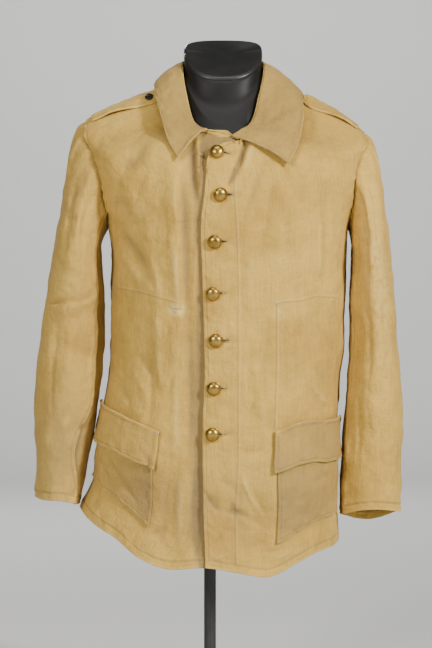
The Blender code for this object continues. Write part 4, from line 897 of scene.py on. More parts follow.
def lay_mesh(name, points, quads, finish, grain=None, marks=None):
    """One object from arrays of points and quads, with its cloth grain as UVs and its marks."""
    mesh = bpy.data.meshes.new(name)
    mesh.vertices.add(len(points))
    mesh.vertices.foreach_set("co", np.ascontiguousarray(points, dtype=np.float32).ravel())
    mesh.loops.add(quads.size)
    mesh.loops.foreach_set("vertex_index", np.ascontiguousarray(quads, dtype=np.int32).ravel())
    mesh.polygons.add(len(quads))
    mesh.polygons.foreach_set("loop_start", np.arange(len(quads), dtype=np.int32) * 4)
    mesh.update(calc_edges=True)
    if grain is not None:
        layer = mesh.uv_layers.new(name="grain")
        layer.data.foreach_set("uv", grain[quads.ravel()].astype(np.float32).ravel())
    for mark, values in (marks or {}).items():
        mesh.attributes.new(mark, "FLOAT", "POINT").data.foreach_set("value", values.astype(np.float32))
    return stand_in_scene(name, mesh, finish, 60)


def lattice_quads(rows, cols):
    """Quads of a grid of points, facing the side where columns run right and rows run up."""
    g = np.arange(rows * cols).reshape(rows, cols)
    return np.stack([g[:-1, :-1], g[:-1, 1:], g[1:, 1:], g[1:, :-1]], axis=-1).reshape(-1, 4)


shells = {}


def cloth_piece(name, points, edges, thickness=WALL, crease_shade_and_ridge_wear=None, wear_and_painted_light=None, more_marks=None):
    """Both faces of a piece of cloth. Its named edges are turned in and stitched at their distance.

    An edge can also be given as that distance and how far it is turned in, row by row.
    """
    normal = grid_normals(points)
    lengths = (run_lengths(points, 0), run_lengths(points, 1))
    relief = np.zeros(points.shape[:2])
    nearest = np.full(points.shape[:2], 0.05)
    for number, (edge, stitch) in enumerate(edges.items()):
        stitch, stretch = stitch if isinstance(stitch, tuple) else (stitch, np.ones((1, 1)))
        distance = edge_distance(lengths, edge)
        along = lengths[0] if EDGE_AXES[edge][0] == 1 else lengths[1]
        relief = relief + turned_edge(distance, along, stitch, 31 + number) * stretch
        nearest = np.minimum(nearest, np.where(stretch > 0.5, distance * EDGE_STITCH / stitch, 0.05))
    outer = points + normal * relief[..., None]
    layers = thickness + TURNED_EDGE * (nearest < EDGE_STITCH)
    inner = points - normal * layers[..., None]
    rows, cols = nearest.shape
    count = rows * cols
    top = lattice_quads(rows, cols)
    g = np.arange(count).reshape(rows, cols)
    rim = np.concatenate([g[0, :], g[1:, -1], g[-1, -2::-1], g[-2:0:-1, 0]])
    after = np.roll(rim, -1)
    sides = np.stack([after, rim, rim + count, after + count], axis=-1)
    flat = np.zeros((rows, cols))
    wear_and_painted_light = (flat if wear_and_painted_light is None else wear_and_painted_light) + PIECE_TONE.get(name, 0.0)
    marks = {"edge": nearest, "wear_and_painted_light": wear_and_painted_light, "crease_shade_and_ridge_wear": flat if crease_shade_and_ridge_wear is None else crease_shade_and_ridge_wear}
    marks.update(more_marks or {})
    marks = {mark: np.tile(np.broadcast_to(v, (rows, cols)).ravel(), 2) for mark, v in marks.items()}
    grain = np.stack([lengths[1], lengths[0]], axis=-1).reshape(-1, 2)
    faces = np.concatenate([top, top[:, ::-1] + count, sides])
    both = np.concatenate([outer.reshape(-1, 3), inner.reshape(-1, 3)])
    made = lay_mesh(name + "_cloth", both, faces, DRILL, np.concatenate([grain, grain]), marks)
    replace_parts(made, name)
    shells[name] = {"piece": made, "outer": outer, "normal": grid_normals(outer), "sewn": []}
    return shells[name]


def between(path, at):
    """Points of a polyline at these distances along it."""
    run = np.concatenate([[0.0], np.cumsum(np.linalg.norm(np.diff(path, axis=0), axis=1))])
    return np.stack([np.interp(at, run, path[:, i]) for i in range(path.shape[1])], axis=-1)


def path_length(path):
    return float(np.linalg.norm(np.diff(path[:, :3], axis=0), axis=1).sum())


STITCH_RINGS = np.array([(-0.5, 0.25, -0.4), (-0.32, 0.85, 0.5), (0.32, 0.85, 0.5), (0.5, 0.25, -0.4)])


def threads(name, centres, runs, normals, length, radius, finish):
    """Many threads as one mesh: each four small square rings along its run, its ends sunk in the cloth."""
    runs = unit(runs)
    sides = unit(np.cross(runs, normals))
    ups = np.cross(sides, runs)
    corner = np.radians(np.array([45.0, 135.0, 225.0, 315.0]))[None, None, :, None]
    along, wide, sink = (STITCH_RINGS[:, i][None, :, None, None] for i in range(3))
    along, wide, sink = along * length, wide * radius, sink * radius
    ring_side, ring_up = np.cos(corner) * wide, np.sin(corner) * wide + sink
    points = (centres[:, None, None, :] + runs[:, None, None, :] * along + sides[:, None, None, :] * ring_side
              + ups[:, None, None, :] * ring_up)
    ring = np.arange(4)
    turn = np.roll(ring, -1)
    walls = [np.stack([ring, turn, turn + 4, ring + 4], axis=-1) + 4 * k for k in range(3)]
    one = np.concatenate(walls + [np.array([[3, 2, 1, 0], [12, 13, 14, 15]])])
    quads = (one[None] + (np.arange(len(centres)) * 16)[:, None, None]).reshape(-1, 4)
    return lay_mesh(name, points.reshape(-1, 3), quads, finish)


def stitch_line(path, normals, pitch=STITCH_PITCH, length=STITCH_LENGTH):
    """Stitches along a path: their centres, runs and normals."""
    total = path_length(path)
    centre_at = np.arange(pitch / 2, max(total - pitch / 2, pitch), pitch)
    both = between(np.concatenate([path, normals], axis=1), np.concatenate([
        centre_at, np.clip(centre_at - length / 2, 0, total), np.clip(centre_at + length / 2, 0, total)]))
    middle, before, after = np.split(both, 3)
    return middle[:, :3], after[:, :3] - before[:, :3], middle[:, 3:]


def sew(name, lines, carriers, finish=THREAD, radius=THREAD_RADIUS, length=STITCH_LENGTH):
    """Joins stitch lines into one piece that goes with the cloth that carries it."""
    centres, runs, normals = (np.concatenate(part) for part in zip(*lines))
    made = threads(name, centres, runs, normals, length, radius, finish)
    for carrier in carriers:
        shells[carrier]["sewn"].append(made)
    return made


def edge_seam(name, edge, distance, start=0.0, stop=1.0):
    """Stitches at a distance from an edge of a piece."""
    shell = shells[name]
    both = np.concatenate([shell["outer"], shell["normal"]], axis=-1)
    axis, from_end = EDGE_AXES[edge]
    grid = both if axis == 1 else both.swapaxes(0, 1)
    grid = grid[:, ::-1] if from_end else grid
    run = run_lengths(grid[..., :3], 1)
    column = np.clip((run < distance).sum(axis=1), 1, grid.shape[1] - 1)
    row = np.arange(len(grid))
    before, after = run[row, column - 1], run[row, column]
    s = ((distance - before) / np.maximum(after - before, 1e-9))[:, None]
    line = mixed(grid[row, column - 1], grid[row, column], s)
    line = line[int(start * (len(line) - 1)):int(math.ceil(stop * (len(line) - 1))) + 1]
    return stitch_line(line[:, :3], line[:, 3:])


def front_line(pairs, lift=0.0):
    """Stitches along a line of x and height pairs on the front."""
    pairs = np.array(pairs)
    fine = between(pairs, np.linspace(0.0, path_length(pairs), 60))
    turn, rise = place_on_front(fine[:, 0], fine[:, 1])
    normal = cloth_normal(turn, rise)
    return stitch_line(cloth(turn, rise) + normal * lift, normal)


# Cut pieces of the body
def armhole_sine(rise):
    """How far the armhole has cut in at this rise: 0 at the underarm and the shoulder, 1 half way."""
    share = kept_in((rise - UNDERARM_RISE) / (SHOULDER_RISE - UNDERARM_RISE))
    return np.sqrt(1 - (1 - 2 * share)**2)


def side_turn(side, rise, cut):
    """Turn where a panel ends: the side seam, then the armhole, then the shoulder seam."""
    drift = SIDE_SEAM_DRIFT * kept_in(1 - rise / UNDERARM_RISE)
    return side * (90.0 + drift + cut * armhole_sine(rise))


def panel_rises(step):
    """Rises of the rows: close at the hem and where the armhole turns fast, even elsewhere."""
    below = spaced(WAIST_Z - 0.29, step, HEM_LINES)[:-1] * WAIST_RISE
    middle = np.linspace(WAIST_RISE, UNDERARM_RISE, int(0.186 / step))[:-1]
    angle = np.linspace(0.0, math.pi, int(0.205 / step))
    arm_part = UNDERARM_RISE + (SHOULDER_RISE - UNDERARM_RISE) * (1 - np.cos(angle)) / 2
    return np.concatenate([below, middle, arm_part, np.linspace(SHOULDER_RISE, 1.0, int(0.102 / step))[1:]])


def line_distance(x, z, lines):
    """Signed distance to the nearest of these lines, and 1 beside it fading to 0 some 8 mm away."""
    nearest = np.full(x.shape, 0.05)
    for line in lines:
        for (x0, z0), (x1, z1) in zip(line[:-1], line[1:]):
            length = math.hypot(x1 - x0, z1 - z0)
            along = ((x - x0) * (x1 - x0) + (z - z0) * (z1 - z0)) / length**2
            aside = ((x - x0) * (z1 - z0) - (z - z0) * (x1 - x0)) / length
            aside = np.where((along >= -0.01) & (along <= 1.01), aside, 0.05)
            nearest = np.where(np.abs(aside) < np.abs(nearest), aside, nearest)
    return np.clip(nearest, -0.01, 0.01), 1 - ease(0.005, 0.008, np.abs(nearest))


def wear_and_painted_light_marks(point):
    """Paler or darker places of the fronts, as soft ovals."""
    total = np.zeros(point.shape[:2])
    for x, z, reach_x, reach_z, amount in WEAR_AND_PAINTED_LIGHT_PLACES:
        away_x, away_z = (point[..., 0] - x) / reach_x, (point[..., 2] - z) / reach_z
        total = total + amount * np.exp(-away_x**2 - away_z**2)
    return np.clip(total, -1.0, 1.0)


def body_piece(name, turn, rise, edges, lift=0.0, thickness=WALL):
    """A cut piece of the body, lifted off the body surface by lift."""
    turn, rise = np.broadcast_arrays(turn, rise)
    points = cloth(turn, rise)
    normal = grid_normals(points)
    lift = np.broadcast_to(lift, turn.shape)
    points = points + normal * lift[..., None]
    # Painted shade: crease depth, and how far the piece lies under the left front, are kept as a mark that
    # darkens the cloth, at 0.35 of it on the back.
    crease_shade_and_ridge_wear = body_creases(plain_body(turn, rise), turn) - np.minimum(lift, 0.0) * 2.1
    facing = cos_of(turn)
    wear_and_painted_light, crease_shade_and_ridge_wear = wear_and_painted_light_marks(points) * (facing > 0), crease_shade_and_ridge_wear * np.where(facing > 0, 1.0, 0.35)
    marks = {}
    if name in STITCHED_LINES:
        for way, lines in STITCHED_LINES[name].items():
            marks[way], marks[way + "_near"] = line_distance(points[..., 0], points[..., 2], lines)
    return cloth_piece(name, points, edges, thickness, crease_shade_and_ridge_wear=crease_shade_and_ridge_wear, wear_and_painted_light=wear_and_painted_light, more_marks=marks)


def armhole_edge(rise):
    """Stitches of the armhole, and how far its edge is turned in, from the underarm to the shoulder."""
    above_underarm = ease(UNDERARM_RISE - 0.01, UNDERARM_RISE + 0.02, rise)
    below_shoulder = 1 - ease(SHOULDER_RISE, SHOULDER_RISE + 0.02, rise)
    return ARMHOLE_STITCH, ARMHOLE_RIDGE * (above_underarm * below_shoulder)


def side_lap(rise):
    """How many degrees a front laps over the back at its side seam, up to the underarm."""
    return SEAM_LAP / BODY_PER_DEGREE * (1 - ease(UNDERARM_RISE - 0.03, UNDERARM_RISE, rise))


def lap_lift(past_seam, lap):
    """Lift of a front where it laps over the back: one wall, eased in before the seam."""
    return (WALL + LAP_GAP) * ease(-0.004, 0.0005, past_seam * BODY_PER_DEGREE) * (lap > 0.1)


def make_front_left():
    """Left front: from its edge past the side seam, its top corner rounded off below the collar."""
    shares = spaced(0.27, FRONT_STEP, EDGE_LINES + (0.0140,), ARMHOLE_LINES)
    share, level = np.meshgrid(shares, panel_rises(FRONT_STEP))
    lap = side_lap(level)
    seam = side_turn(1, level, -ARMHOLE_FRONT[1])
    end = seam + lap
    rise = level
    for _ in range(5):
        edge_x = placket_x(rise)
        start = turn_at_x(edge_x, rise)
        turn = start + (end - start) * share
        from_edge = plain_body(turn, rise)[..., 0] - edge_x
        reach = kept_in(1 - from_edge / CORNER_REACH)
        top = CORNER_RISE + CORNER_LIFT * np.sqrt(1 - reach**2)
        top = top + (1 - CORNER_RISE - CORNER_LIFT) * ease(CORNER_REACH, CORNER_END, from_edge)
        cut = CORNER_START + (level - CORNER_START) * (top - CORNER_START) / (1 - CORNER_START)
        rise = np.where(level > CORNER_START, cut, level)
    edges = {"first": EDGE_STITCH, "low": HEM_STITCH, "high": EDGE_STITCH, "last": armhole_edge(level)}
    body_piece("front_left", turn, rise, edges, lap_lift(turn - seam, lap))


def underlap_drop(turn, rise):
    """How far the right front lies under the surface: nothing, then a wall where the left one laps it."""
    edge_x = placket_x(rise)
    from_edge = plain_body(turn, rise)[..., 0] - edge_x
    return (WALL + PATCH_GAP + TURNED_EDGE) * ease(-UNDERLAP_STEP, -UNDERLAP_STEP_END, from_edge)


def make_front_right():
    """Right front: from past the side seam to its edge, which runs on under the left front."""
    rise = panel_rises(FRONT_STEP)[:, None]
    share = spaced(0.31, FRONT_STEP, ARMHOLE_LINES)[None, :]
    lap = side_lap(rise)
    seam = side_turn(-1, rise, -ARMHOLE_FRONT[-1])
    edge_x = placket_x(rise)
    end = np.minimum(turn_at_x(edge_x + UNDERLAP, rise), UNDERLAP_END_TURN)
    turn = (seam - lap) + (end - seam + lap) * share
    lift = lap_lift(seam - turn, lap) - underlap_drop(turn, rise)
    body_piece("front_right", turn, rise, {"low": HEM_STITCH, "first": armhole_edge(rise)}, lift)


def make_back():
    rise = panel_rises(STEP)[:, None]
    share = spaced(0.47, STEP * 1.1)[None, :]
    start = side_turn(1, rise, ARMHOLE_BACK)
    end = 360.0 + side_turn(-1, rise, ARMHOLE_BACK)
    body_piece("back", start + (end - start) * share, rise, {"low": HEM_STITCH})


# Sleeves
def armhole(side, angle):
    """Point of the armhole: 0 at the underarm, 90 at the front, 180 at the shoulder, 270 at the back."""
    sine = sin_of(angle)
    rise = UNDERARM_RISE + (SHOULDER_RISE - UNDERARM_RISE) * (1 - cos_of(angle)) / 2
    turn = side * (90.0 + np.where(sine > 0, -ARMHOLE_FRONT[side] * sine, -ARMHOLE_BACK * sine))
    return cloth(turn, rise) - cloth_normal(turn, rise) * ARMHOLE_TUCK


def arm(side, angle, z):
    """Oval ring of the arm at a height, in the same angle as the armhole."""
    table = sleeve[side]
    outer, inner, front, back = (smooth(table["height"], table[name], z) for name in SLEEVE_COLUMNS[1:])
    toward_inner, toward_front = cos_of(angle), sin_of(angle)
    x = (outer + inner) / 2 + (inner - outer) / 2 * toward_inner
    y = (front + back) / 2 + (front - back) / 2 * toward_front
    return np.stack([x, y, z], axis=-1)


def cuff_height(side, angle):
    cuff = CUFF_Z[side]
    toward_inner, toward_front = cos_of(angle), sin_of(angle)
    sides = np.where(toward_inner > 0, cuff["inner"], cuff["outer"]) * toward_inner**2
    return sides + np.where(toward_front > 0, cuff["front"], cuff["back"]) * toward_front**2


def plain_sleeve(side, angle, share):
    """Sleeve surface: share 0 at the cuff, ARM_SHARE at the arm's top ring, 1 at the armhole.

    Below the top ring it is the arm's ovals. Above it each line is a cubic that leaves the armhole
    outwards and meets the arm along its own run.
    """
    angle, share = np.broadcast_arrays(np.asarray(angle, float), kept_in(share))
    low = cuff_height(side, angle)
    arm_part = arm(side, angle, low + (ARM_TOP_Z - low) * kept_in(share / ARM_SHARE))
    upward = (1 - cos_of(angle))[..., None] / 2
    leave = unit((LEAVE_SHOULDER * upward + LEAVE_UNDERARM * (1 - upward)) * np.array([side, 1.0, 1.0]))
    start = armhole(side, angle)
    top_z = np.full(angle.shape, ARM_TOP_Z)
    end = arm(side, angle, top_z)
    run = unit(arm(side, angle, top_z - ARM_RUN_STEP) - end)
    gap = np.linalg.norm(end - start, axis=-1, keepdims=True)
    s = kept_in((1 - share) / (1 - ARM_SHARE))[..., None]
    cap_part = ((2 * s**3 - 3 * s**2 + 1) * start + (s**3 - 2 * s**2 + s) * leave * CAP_LEAVE_PULL * gap
                + (3 * s**2 - 2 * s**3) * end + (s**3 - s**2) * run * CAP_ARM_PULL * gap)
    return np.where((share > ARM_SHARE)[..., None], cap_part, arm_part)


def round_arm(angle):
    """Distance round the sleeve from its inner side."""
    return np.radians(angle % 360.0) * SLEEVE_MEAN_RADIUS


def rows_round_arm(rows):
    """Rows of a sleeve's table, with their two angles as distances round it."""
    rows = np.array(rows)
    rows[:, [0, 2]] = np.radians(rows[:, [0, 2]]) * SLEEVE_MEAN_RADIUS
    return rows


def sleeve_creases(side, point, angle):
    """How far the creases press the sleeve's cloth in."""
    return crease_depth(round_arm(angle), point[..., 2], rows_round_arm(SLEEVE_CREASES[side]))


def sleeve_depth(side, point, angle, share):
    """How far the sleeve is pressed in: folds, creases, crumple and the puckers of its head."""
    around = round_arm(angle)
    folds = fold_depth(around, point[..., 2], rows_round_arm(SLEEVE_FOLDS[side]))
    depth = folds + sleeve_creases(side, point, angle)
    depth = depth + crumple(around + 0.5, point[..., 2])
    head = ease(0.80, 0.97, share) * ease(-0.6, 0.4, -cos_of(angle))
    beside = SLEEVE_VALLEY * np.exp(-((1 - share) / 0.030)**2)
    return depth + beside + SLEEVE_HEAD_PUCKER * head * dents(around, share * 0.02, 0.0085, 5)


def make_sleeve(side):
    """Top and under sleeve of one side. The top one laps over the under one at both seams."""
    share = np.concatenate([spaced(0.385, STEP * 1.05, HEM_LINES)[:-1] * ARM_SHARE,
                            np.linspace(ARM_SHARE, 1.0, 48)])[:, None]
    per_degree = math.radians(1.0) * SLEEVE_MEAN_RADIUS
    lap = SEAM_LAP / per_degree
    front = FRONT_SEAM[side] + (FRONT_SEAM_AT_ARMHOLE - FRONT_SEAM[side]) * ease(ARM_SHARE, 1.0, share)
    seam_z = cuff_height(side, 45.0) + (ARM_TOP_Z - cuff_height(side, 45.0)) * share / ARM_SHARE
    front = front + SEAM_SWING[side] * np.exp(-((seam_z - SWING_Z) / SWING_REACH)**2)
    lines = (0.0006, 0.0016, 0.0030, 0.0050, 0.0068, 0.0085)
    halves = (("top", front - lap, BACK_SEAM + lap, spaced(0.25, STEP * 1.1, lines, lines)),
              ("under", BACK_SEAM - 360.0, front, spaced(0.11, STEP * 1.1)))
    for half, start, end, shares in halves:
        angle, level = np.broadcast_arrays(start + (end - start) * shares[None, :], share)
        points = plain_sleeve(side, angle, level)
        if side < 0:
            points, angle, level = points[:, ::-1], angle[:, ::-1], level[:, ::-1]
        depth, creases = sleeve_depth(side, points, angle, level), sleeve_creases(side, points, angle)
        lift = np.zeros(angle.shape)
        if half == "top":
            before, past = (front - angle) * per_degree, (angle - BACK_SEAM) * per_degree
            lift = (WALL + LAP_GAP) * np.maximum(ease(-0.005, 0.0, before), ease(-0.005, 0.0, past))
        points = points + grid_normals(points) * (lift - depth)[..., None]
        edges = {"low": HEM_STITCH, "first": 0.0065, "last": 0.0065} if half == "top" else {"low": HEM_STITCH}
        wear_and_painted_light = sleeve_marks(side, angle, points[..., 2])
        if half == "under":
            # Painted shade over the under sleeve, and a painted shadow along the edge where the top sleeve
            # laps it.
            from_lap = (front - lap - angle) * per_degree
            shade = LAP_SHADE[side] * np.exp(-(np.maximum(from_lap, 0.0) / 0.005)**2)
            wear_and_painted_light = wear_and_painted_light + UNDER_SLEEVE_SHADE[side] - shade
        # Its creases are also painted as shade, at 0.4 of their depth.
        cloth_piece(f"sleeve_{WEARER[side]}_{half}", points, edges, crease_shade_and_ridge_wear=creases * 0.4,
                    wear_and_painted_light=np.clip(wear_and_painted_light, -1.0, 1.0))


# Painted shade over each under sleeve, and the painted shadow along the top sleeve's lapped edge.
UNDER_SLEEVE_SHADE, LAP_SHADE = {-1: -0.40, 1: -0.12}, {-1: 0.45, 1: 0.18}
# Paler and darker places of each sleeve: turn, height, reach round and up, and how much paler (or darker).
# The small pale spots are worn; the broad ones are painted light, paler high on the left sleeve's front and
# darker down the right sleeve's front.
SLEEVE_PLACES = {
    -1: ((46.0, 0.362, 0.008, 0.007, 0.9), (84.0, 0.479, 0.004, 0.006, 0.5),
         (90.0, 0.440, 0.050, 0.090, -0.36), (110.0, 0.640, 0.030, 0.020, -0.15),
         (120.0, 0.800, 0.030, 0.050, -0.18)),
    1: ((90.0, 0.720, 0.040, 0.120, 0.42), (110.0, 0.620, 0.030, 0.100, 0.22)),
}


def sleeve_marks(side, angle, z):
    """Paler or darker places of a sleeve."""
    around = round_arm(angle)
    total = np.zeros(np.shape(angle))
    for at, high, reach_a, reach_z, amount in SLEEVE_PLACES[side]:
        here = math.radians(at) * SLEEVE_MEAN_RADIUS
        total = total + amount * np.exp(-((around - here) / reach_a)**2 - ((z - high) / reach_z)**2)
    return np.clip(total, -1.0, 1.0)


# Collar
def roll_point(turn):
    """Roll line of the collar: an oval round the neck, lower at the front and at the left leaf's root."""
    across, along = ring_offset(turn, np.where(cos_of(turn) < 0, ROLL_BACK_POWER, 2.0))
    y = (ROLL_FRONT_Y + ROLL_BACK_Y) / 2 + (ROLL_BACK_Y - ROLL_FRONT_Y) / 2 * along
    z = smooth(roll["turn"], roll["height"], np.abs(wrapped(turn)))
    near_root = (wrapped(turn) > 0) & (np.asarray(turn) < 180)
    z = z - ROOT_DROP * near_root * (1 - ease(ROOT_TURN, ROOT_END_TURN, wrapped(turn)))
    return np.stack([NECK_X + ROLL_HALF_WIDTH * across, y, z], axis=-1)


def out_and_up(turn):
    return np.stack([sin_of(turn), -cos_of(turn), np.ones(turn.shape)], axis=-1)


def make_collar_stand():
    """Collar band: from the neckline to the roll line, lower towards the end of its rounded tab."""
    turn = np.linspace(STAND_START, STAND_END, 190)[None, :]
    share = spaced(0.045, FINE_STEP)[:, None]
    turn, share = np.broadcast_arrays(turn, share)
    top_share = np.sqrt(1 - 0.92 * kept_in((turn - STAND_END) / TAB_ROUND + 1)**2)
    at_neckline = np.full(turn.shape, 1.0)
    inward = cloth_normal(turn, at_neckline) * underlap_drop(turn, at_neckline)[..., None]
    low = cloth(turn, at_neckline) - inward - cloth_normal(turn, at_neckline) * NECKLINE_TUCK
    low[..., 2] -= NECKLINE_TUCK
    high = roll_point(turn) - out_and_up(turn) * (WALL + 0.0008)
    high[..., 2] = np.maximum(high[..., 2], low[..., 2] + 0.0010)
    points = low + (high - low) * (share * top_share)[..., None]
    points = points + grid_normals(points) * (crumple(turn * 0.0011, share * 0.045) * 0.6)[..., None]
    cloth_piece("collar_stand", points, {"high": 0.0022})


def fall_free(turn, share):
    """Collar fall before it rests: from the roll line out and down to its edge, bulging between them."""
    start = roll_point(turn)
    end = np.stack([smooth(fall["roll_turn"], fall[name], turn) for name in FALL_COLUMNS[1:]], axis=-1)
    bulge = FALL_BULGE * 4 * share * (1 - share)
    return start + (end - start) * share[..., None] + out_and_up(turn) * bulge[..., None] / math.sqrt(2)


def fall_lift(turns, shares):
    """Vectors that lift the fall off the body, worked out on a coarse grid and eased between its points."""
    free = fall_free(*np.meshgrid(np.linspace(FALL[0][0], FALL[-1][0], 63), np.linspace(0.0, 1.0, 12)))
    ring_turn, ring_rise = np.meshgrid(np.linspace(-180.0, 178.5, 240), np.linspace(0.70, 1.0, 61))
    ring_turn, ring_rise = ring_turn.ravel(), ring_rise.ravel()
    surface, normals = cloth(ring_turn, ring_rise), cloth_normal(ring_turn, ring_rise)
    flat = free.reshape(-1, 3)
    square = (flat**2).sum(axis=1)[:, None] - 2 * flat @ surface.T + (surface**2).sum(axis=1)[None, :]
    nearest = np.argmin(square, axis=1)
    over_strap = np.exp(-((ring_turn[nearest] + FALL_STRAP_TURN) / FALL_STRAP_SPREAD)**4)
    wanted = WALL + FALL_GAP + FALL_STRAP_LIFT * over_strap
    above = ((flat - surface[nearest]) * normals[nearest]).sum(axis=-1)
    moved = (normals[nearest] * np.maximum(wanted - above, 0.0)[:, None]).reshape(free.shape)
    column = (turns - FALL[0][0]) / (FALL[-1][0] - FALL[0][0]) * 62
    row = shares * 11
    c, r = np.clip(column.astype(int), 0, 61), np.clip(row.astype(int), 0, 10)
    s, t = (column - c)[..., None], (row - r)[..., None]
    return mixed(mixed(moved[r, c], moved[r, c + 1], s), mixed(moved[r + 1, c], moved[r + 1, c + 1], s), t)


FALL_CREASES = tenths(
    (750, 200, 1100, 450, 20, 60, 80, 12), (1200, 100, 1400, 500, 20, 80, 60, 10),
    (4700, 150, 4400, 500, 20, 60, 80, 12), (3000, 200, 3300, 500, 20, 80, 80, 10),
)


def make_collar_fall():
    """Turn-down collar. Its rows run from the edge up over the roll and a little way down inside."""
    turns = np.interp(spaced(0.48, STEP, EDGE_LINES, EDGE_LINES), [0, 1], [FALL[0][0], FALL[-1][0]])
    down = 1 - spaced(0.075, FINE_STEP, EDGE_LINES)
    turn, share = np.meshgrid(turns, down)
    points = fall_free(turn, share) + fall_lift(turn, share)
    steps = np.linalg.norm(np.diff(points[0], axis=0), axis=1)
    along = np.broadcast_to(np.concatenate([[0.0], np.cumsum(steps)])[None, :], share.shape)
    depth = crumple(along + 2.0, share * 0.075) + crease_depth(along, share * 0.075, FALL_CREASES)
    points = points - grid_normals(points) * (depth * ease(0.0, 0.15, share))[..., None]
    top, normal = points[-1], grid_normals(points)[-1]
    run = unit(points[-1] - points[-3])
    curl = np.radians(np.linspace(15.0, 165.0, 11))[:, None, None]
    over = top + (normal * (np.cos(curl) - 1) + run * np.sin(curl)) * ROLL_RADIUS
    inside = over[-1] - run * np.linspace(0.002, 0.010, 4)[:, None, None]
    cloth_piece("collar_fall", np.concatenate([points, over, inside]),
                {"low": COLLAR_STITCH, "first": COLLAR_STITCH, "last": COLLAR_STITCH})


# Straps, pockets and flaps
def strap_grid(side, along, across):
    """Turn and rise of strap points: along from the sleeve seam, across in widths of the strap."""
    rise = STRAP_START_RISE + (STRAP_END_RISE[side] - STRAP_START_RISE) * along
    centre = side * (90.0 - STRAP_FORWARD[0] - (STRAP_FORWARD[1] - STRAP_FORWARD[0]) * along)
    per_degree = np.linalg.norm(plain_body(centre + 1.0, rise) - plain_body(centre - 1.0, rise), axis=-1) / 2
    into_round = kept_in((along - 1 + STRAP_ROUND) / STRAP_ROUND)
    half = STRAP_HALF_WIDTH * np.sqrt(1 - STRAP_TIP_CUT * into_round**2)
    return centre + across * half / per_degree, rise


def make_strap(side):
    """Shoulder strap: its front edge stands off the shoulder a little half way along."""
    along = spaced(0.10, FINE_STEP, EDGE_LINES[:7], EDGE_LINES)[:, None]
    across = spaced(0.046, FINE_STEP, EDGE_LINES, EDGE_LINES)[None, :] * 2 - 1
    along, across = np.broadcast_arrays(along, across)
    turn, rise = strap_grid(side, along, across)
    toward_front = kept_in(-across * side)
    stand_off = 0.0040 * toward_front**2 * np.exp(-((along - 0.30) / 0.28)**2)
    wave = 0.0006 * dents(along * 0.10, across * 0.02, 0.012, 8 + side)
    points = cloth(turn, rise) + cloth_normal(turn, rise) * (STRAP_GAP + WALL + stand_off + wave)[..., None]
    cloth_piece(f"shoulder_strap_{WEARER[side]}", points,
                {"first": EDGE_STITCH, "last": EDGE_STITCH, "high": EDGE_STITCH})


def skirt_rise(turn, z):
    """Rise of the skirt point at this turn and height."""
    low = hem_height(turn)
    return WAIST_RISE * (z - low) / (WAIST_Z - low)


def flap_heights(side, share):
    table = flap[side]
    return smooth(table["share"], table["top_z"], share), smooth(table["share"], table["bottom_z"], share)


def pocket_sag(share, up):
    """How far the pocket's middle hangs off the skirt."""
    return POCKET_SAG * (16 * share * (1 - share) * up * (1 - up))**0.8


POCKET_CREASES = {
    -1: tenths(
        (200, 200, 1000, 1000, 30, 60, 80, 16), (600, 300, 1300, 700, 30, 50, 70, 12),
        (300, 1000, 1200, 1300, 20, 60, 60, -10)),
    1: tenths(
        (300, 1200, 600, 200, 30, 60, 80, 14), (500, 700, 1200, 800, 20, 50, 60, 12),
        (200, 500, 500, 300, 20, 40, 60, -10)),
}


def make_pocket(side):
    """Patch pocket: its mouth lies under the flap and its lower edge follows the hem."""
    share = spaced(POCKET_SIZE[0], STEP, EDGE_LINES, EDGE_LINES)[None, :]
    up = spaced(POCKET_SIZE[1], STEP, EDGE_LINES)[:, None]
    turn = side * (POCKET_FRONT[side] + (POCKET_SIDE[side] - POCKET_FRONT[side]) * share)
    bottom = hem_height(turn) + POCKET_ABOVE_HEM
    top = flap_heights(side, share)[0] - POCKET_MOUTH_DROP
    z = bottom + (top - bottom) * up
    turn = np.broadcast_to(turn, z.shape)
    creases = crease_depth(share * POCKET_SIZE[0] + z * 0, up * POCKET_SIZE[1], POCKET_CREASES[side])
    sag = pocket_sag(share, up) - creases
    if side < 0:
        turn, z, sag = turn[:, ::-1], z[:, ::-1], sag[:, ::-1]
    lift = PATCH_GAP + PATCH_WALL + sag
    edges = {"first": EDGE_STITCH, "last": EDGE_STITCH, "low": EDGE_STITCH}
    body_piece(f"pocket_{WEARER[side]}", turn, skirt_rise(turn, z), edges, lift, PATCH_WALL)


def make_flap(side):
    """Pocket flap: stitched along its top, its lower edge a little proud of the pocket."""
    share = spaced(FLAP_SIZE[0], STEP, EDGE_LINES, EDGE_LINES)[None, :]
    up = spaced(FLAP_SIZE[1], STEP, EDGE_LINES, EDGE_LINES)[:, None]
    turn = side * (FLAP_FRONT[side] + (FLAP_SIDE[side] - FLAP_FRONT[side]) * share)
    top, bottom = flap_heights(side, share)
    z = bottom + (top - bottom) * up
    turn = np.broadcast_to(turn, z.shape)
    wave = dents(share * FLAP_SIZE[0], up * FLAP_SIZE[1], 0.022, 17 + side)
    hang = 0.0022 * (1 - up)**1.5 + 0.0010 * (1 - up) * wave
    sag = pocket_sag(np.clip(share, 0.03, 0.97), np.clip(0.62 + 0.38 * up, 0.0, 0.97)) * 0.9
    proud = hang + sag
    if side < 0:
        turn, z, proud = turn[:, ::-1], z[:, ::-1], proud[:, ::-1]
    lift = PATCH_GAP + PATCH_WALL + CLOTH_GAP + WALL + proud
    edges = {edge: EDGE_STITCH for edge in EDGE_AXES}
    body_piece(f"pocket_flap_{WEARER[side]}", turn, skirt_rise(turn, z), edges, lift)


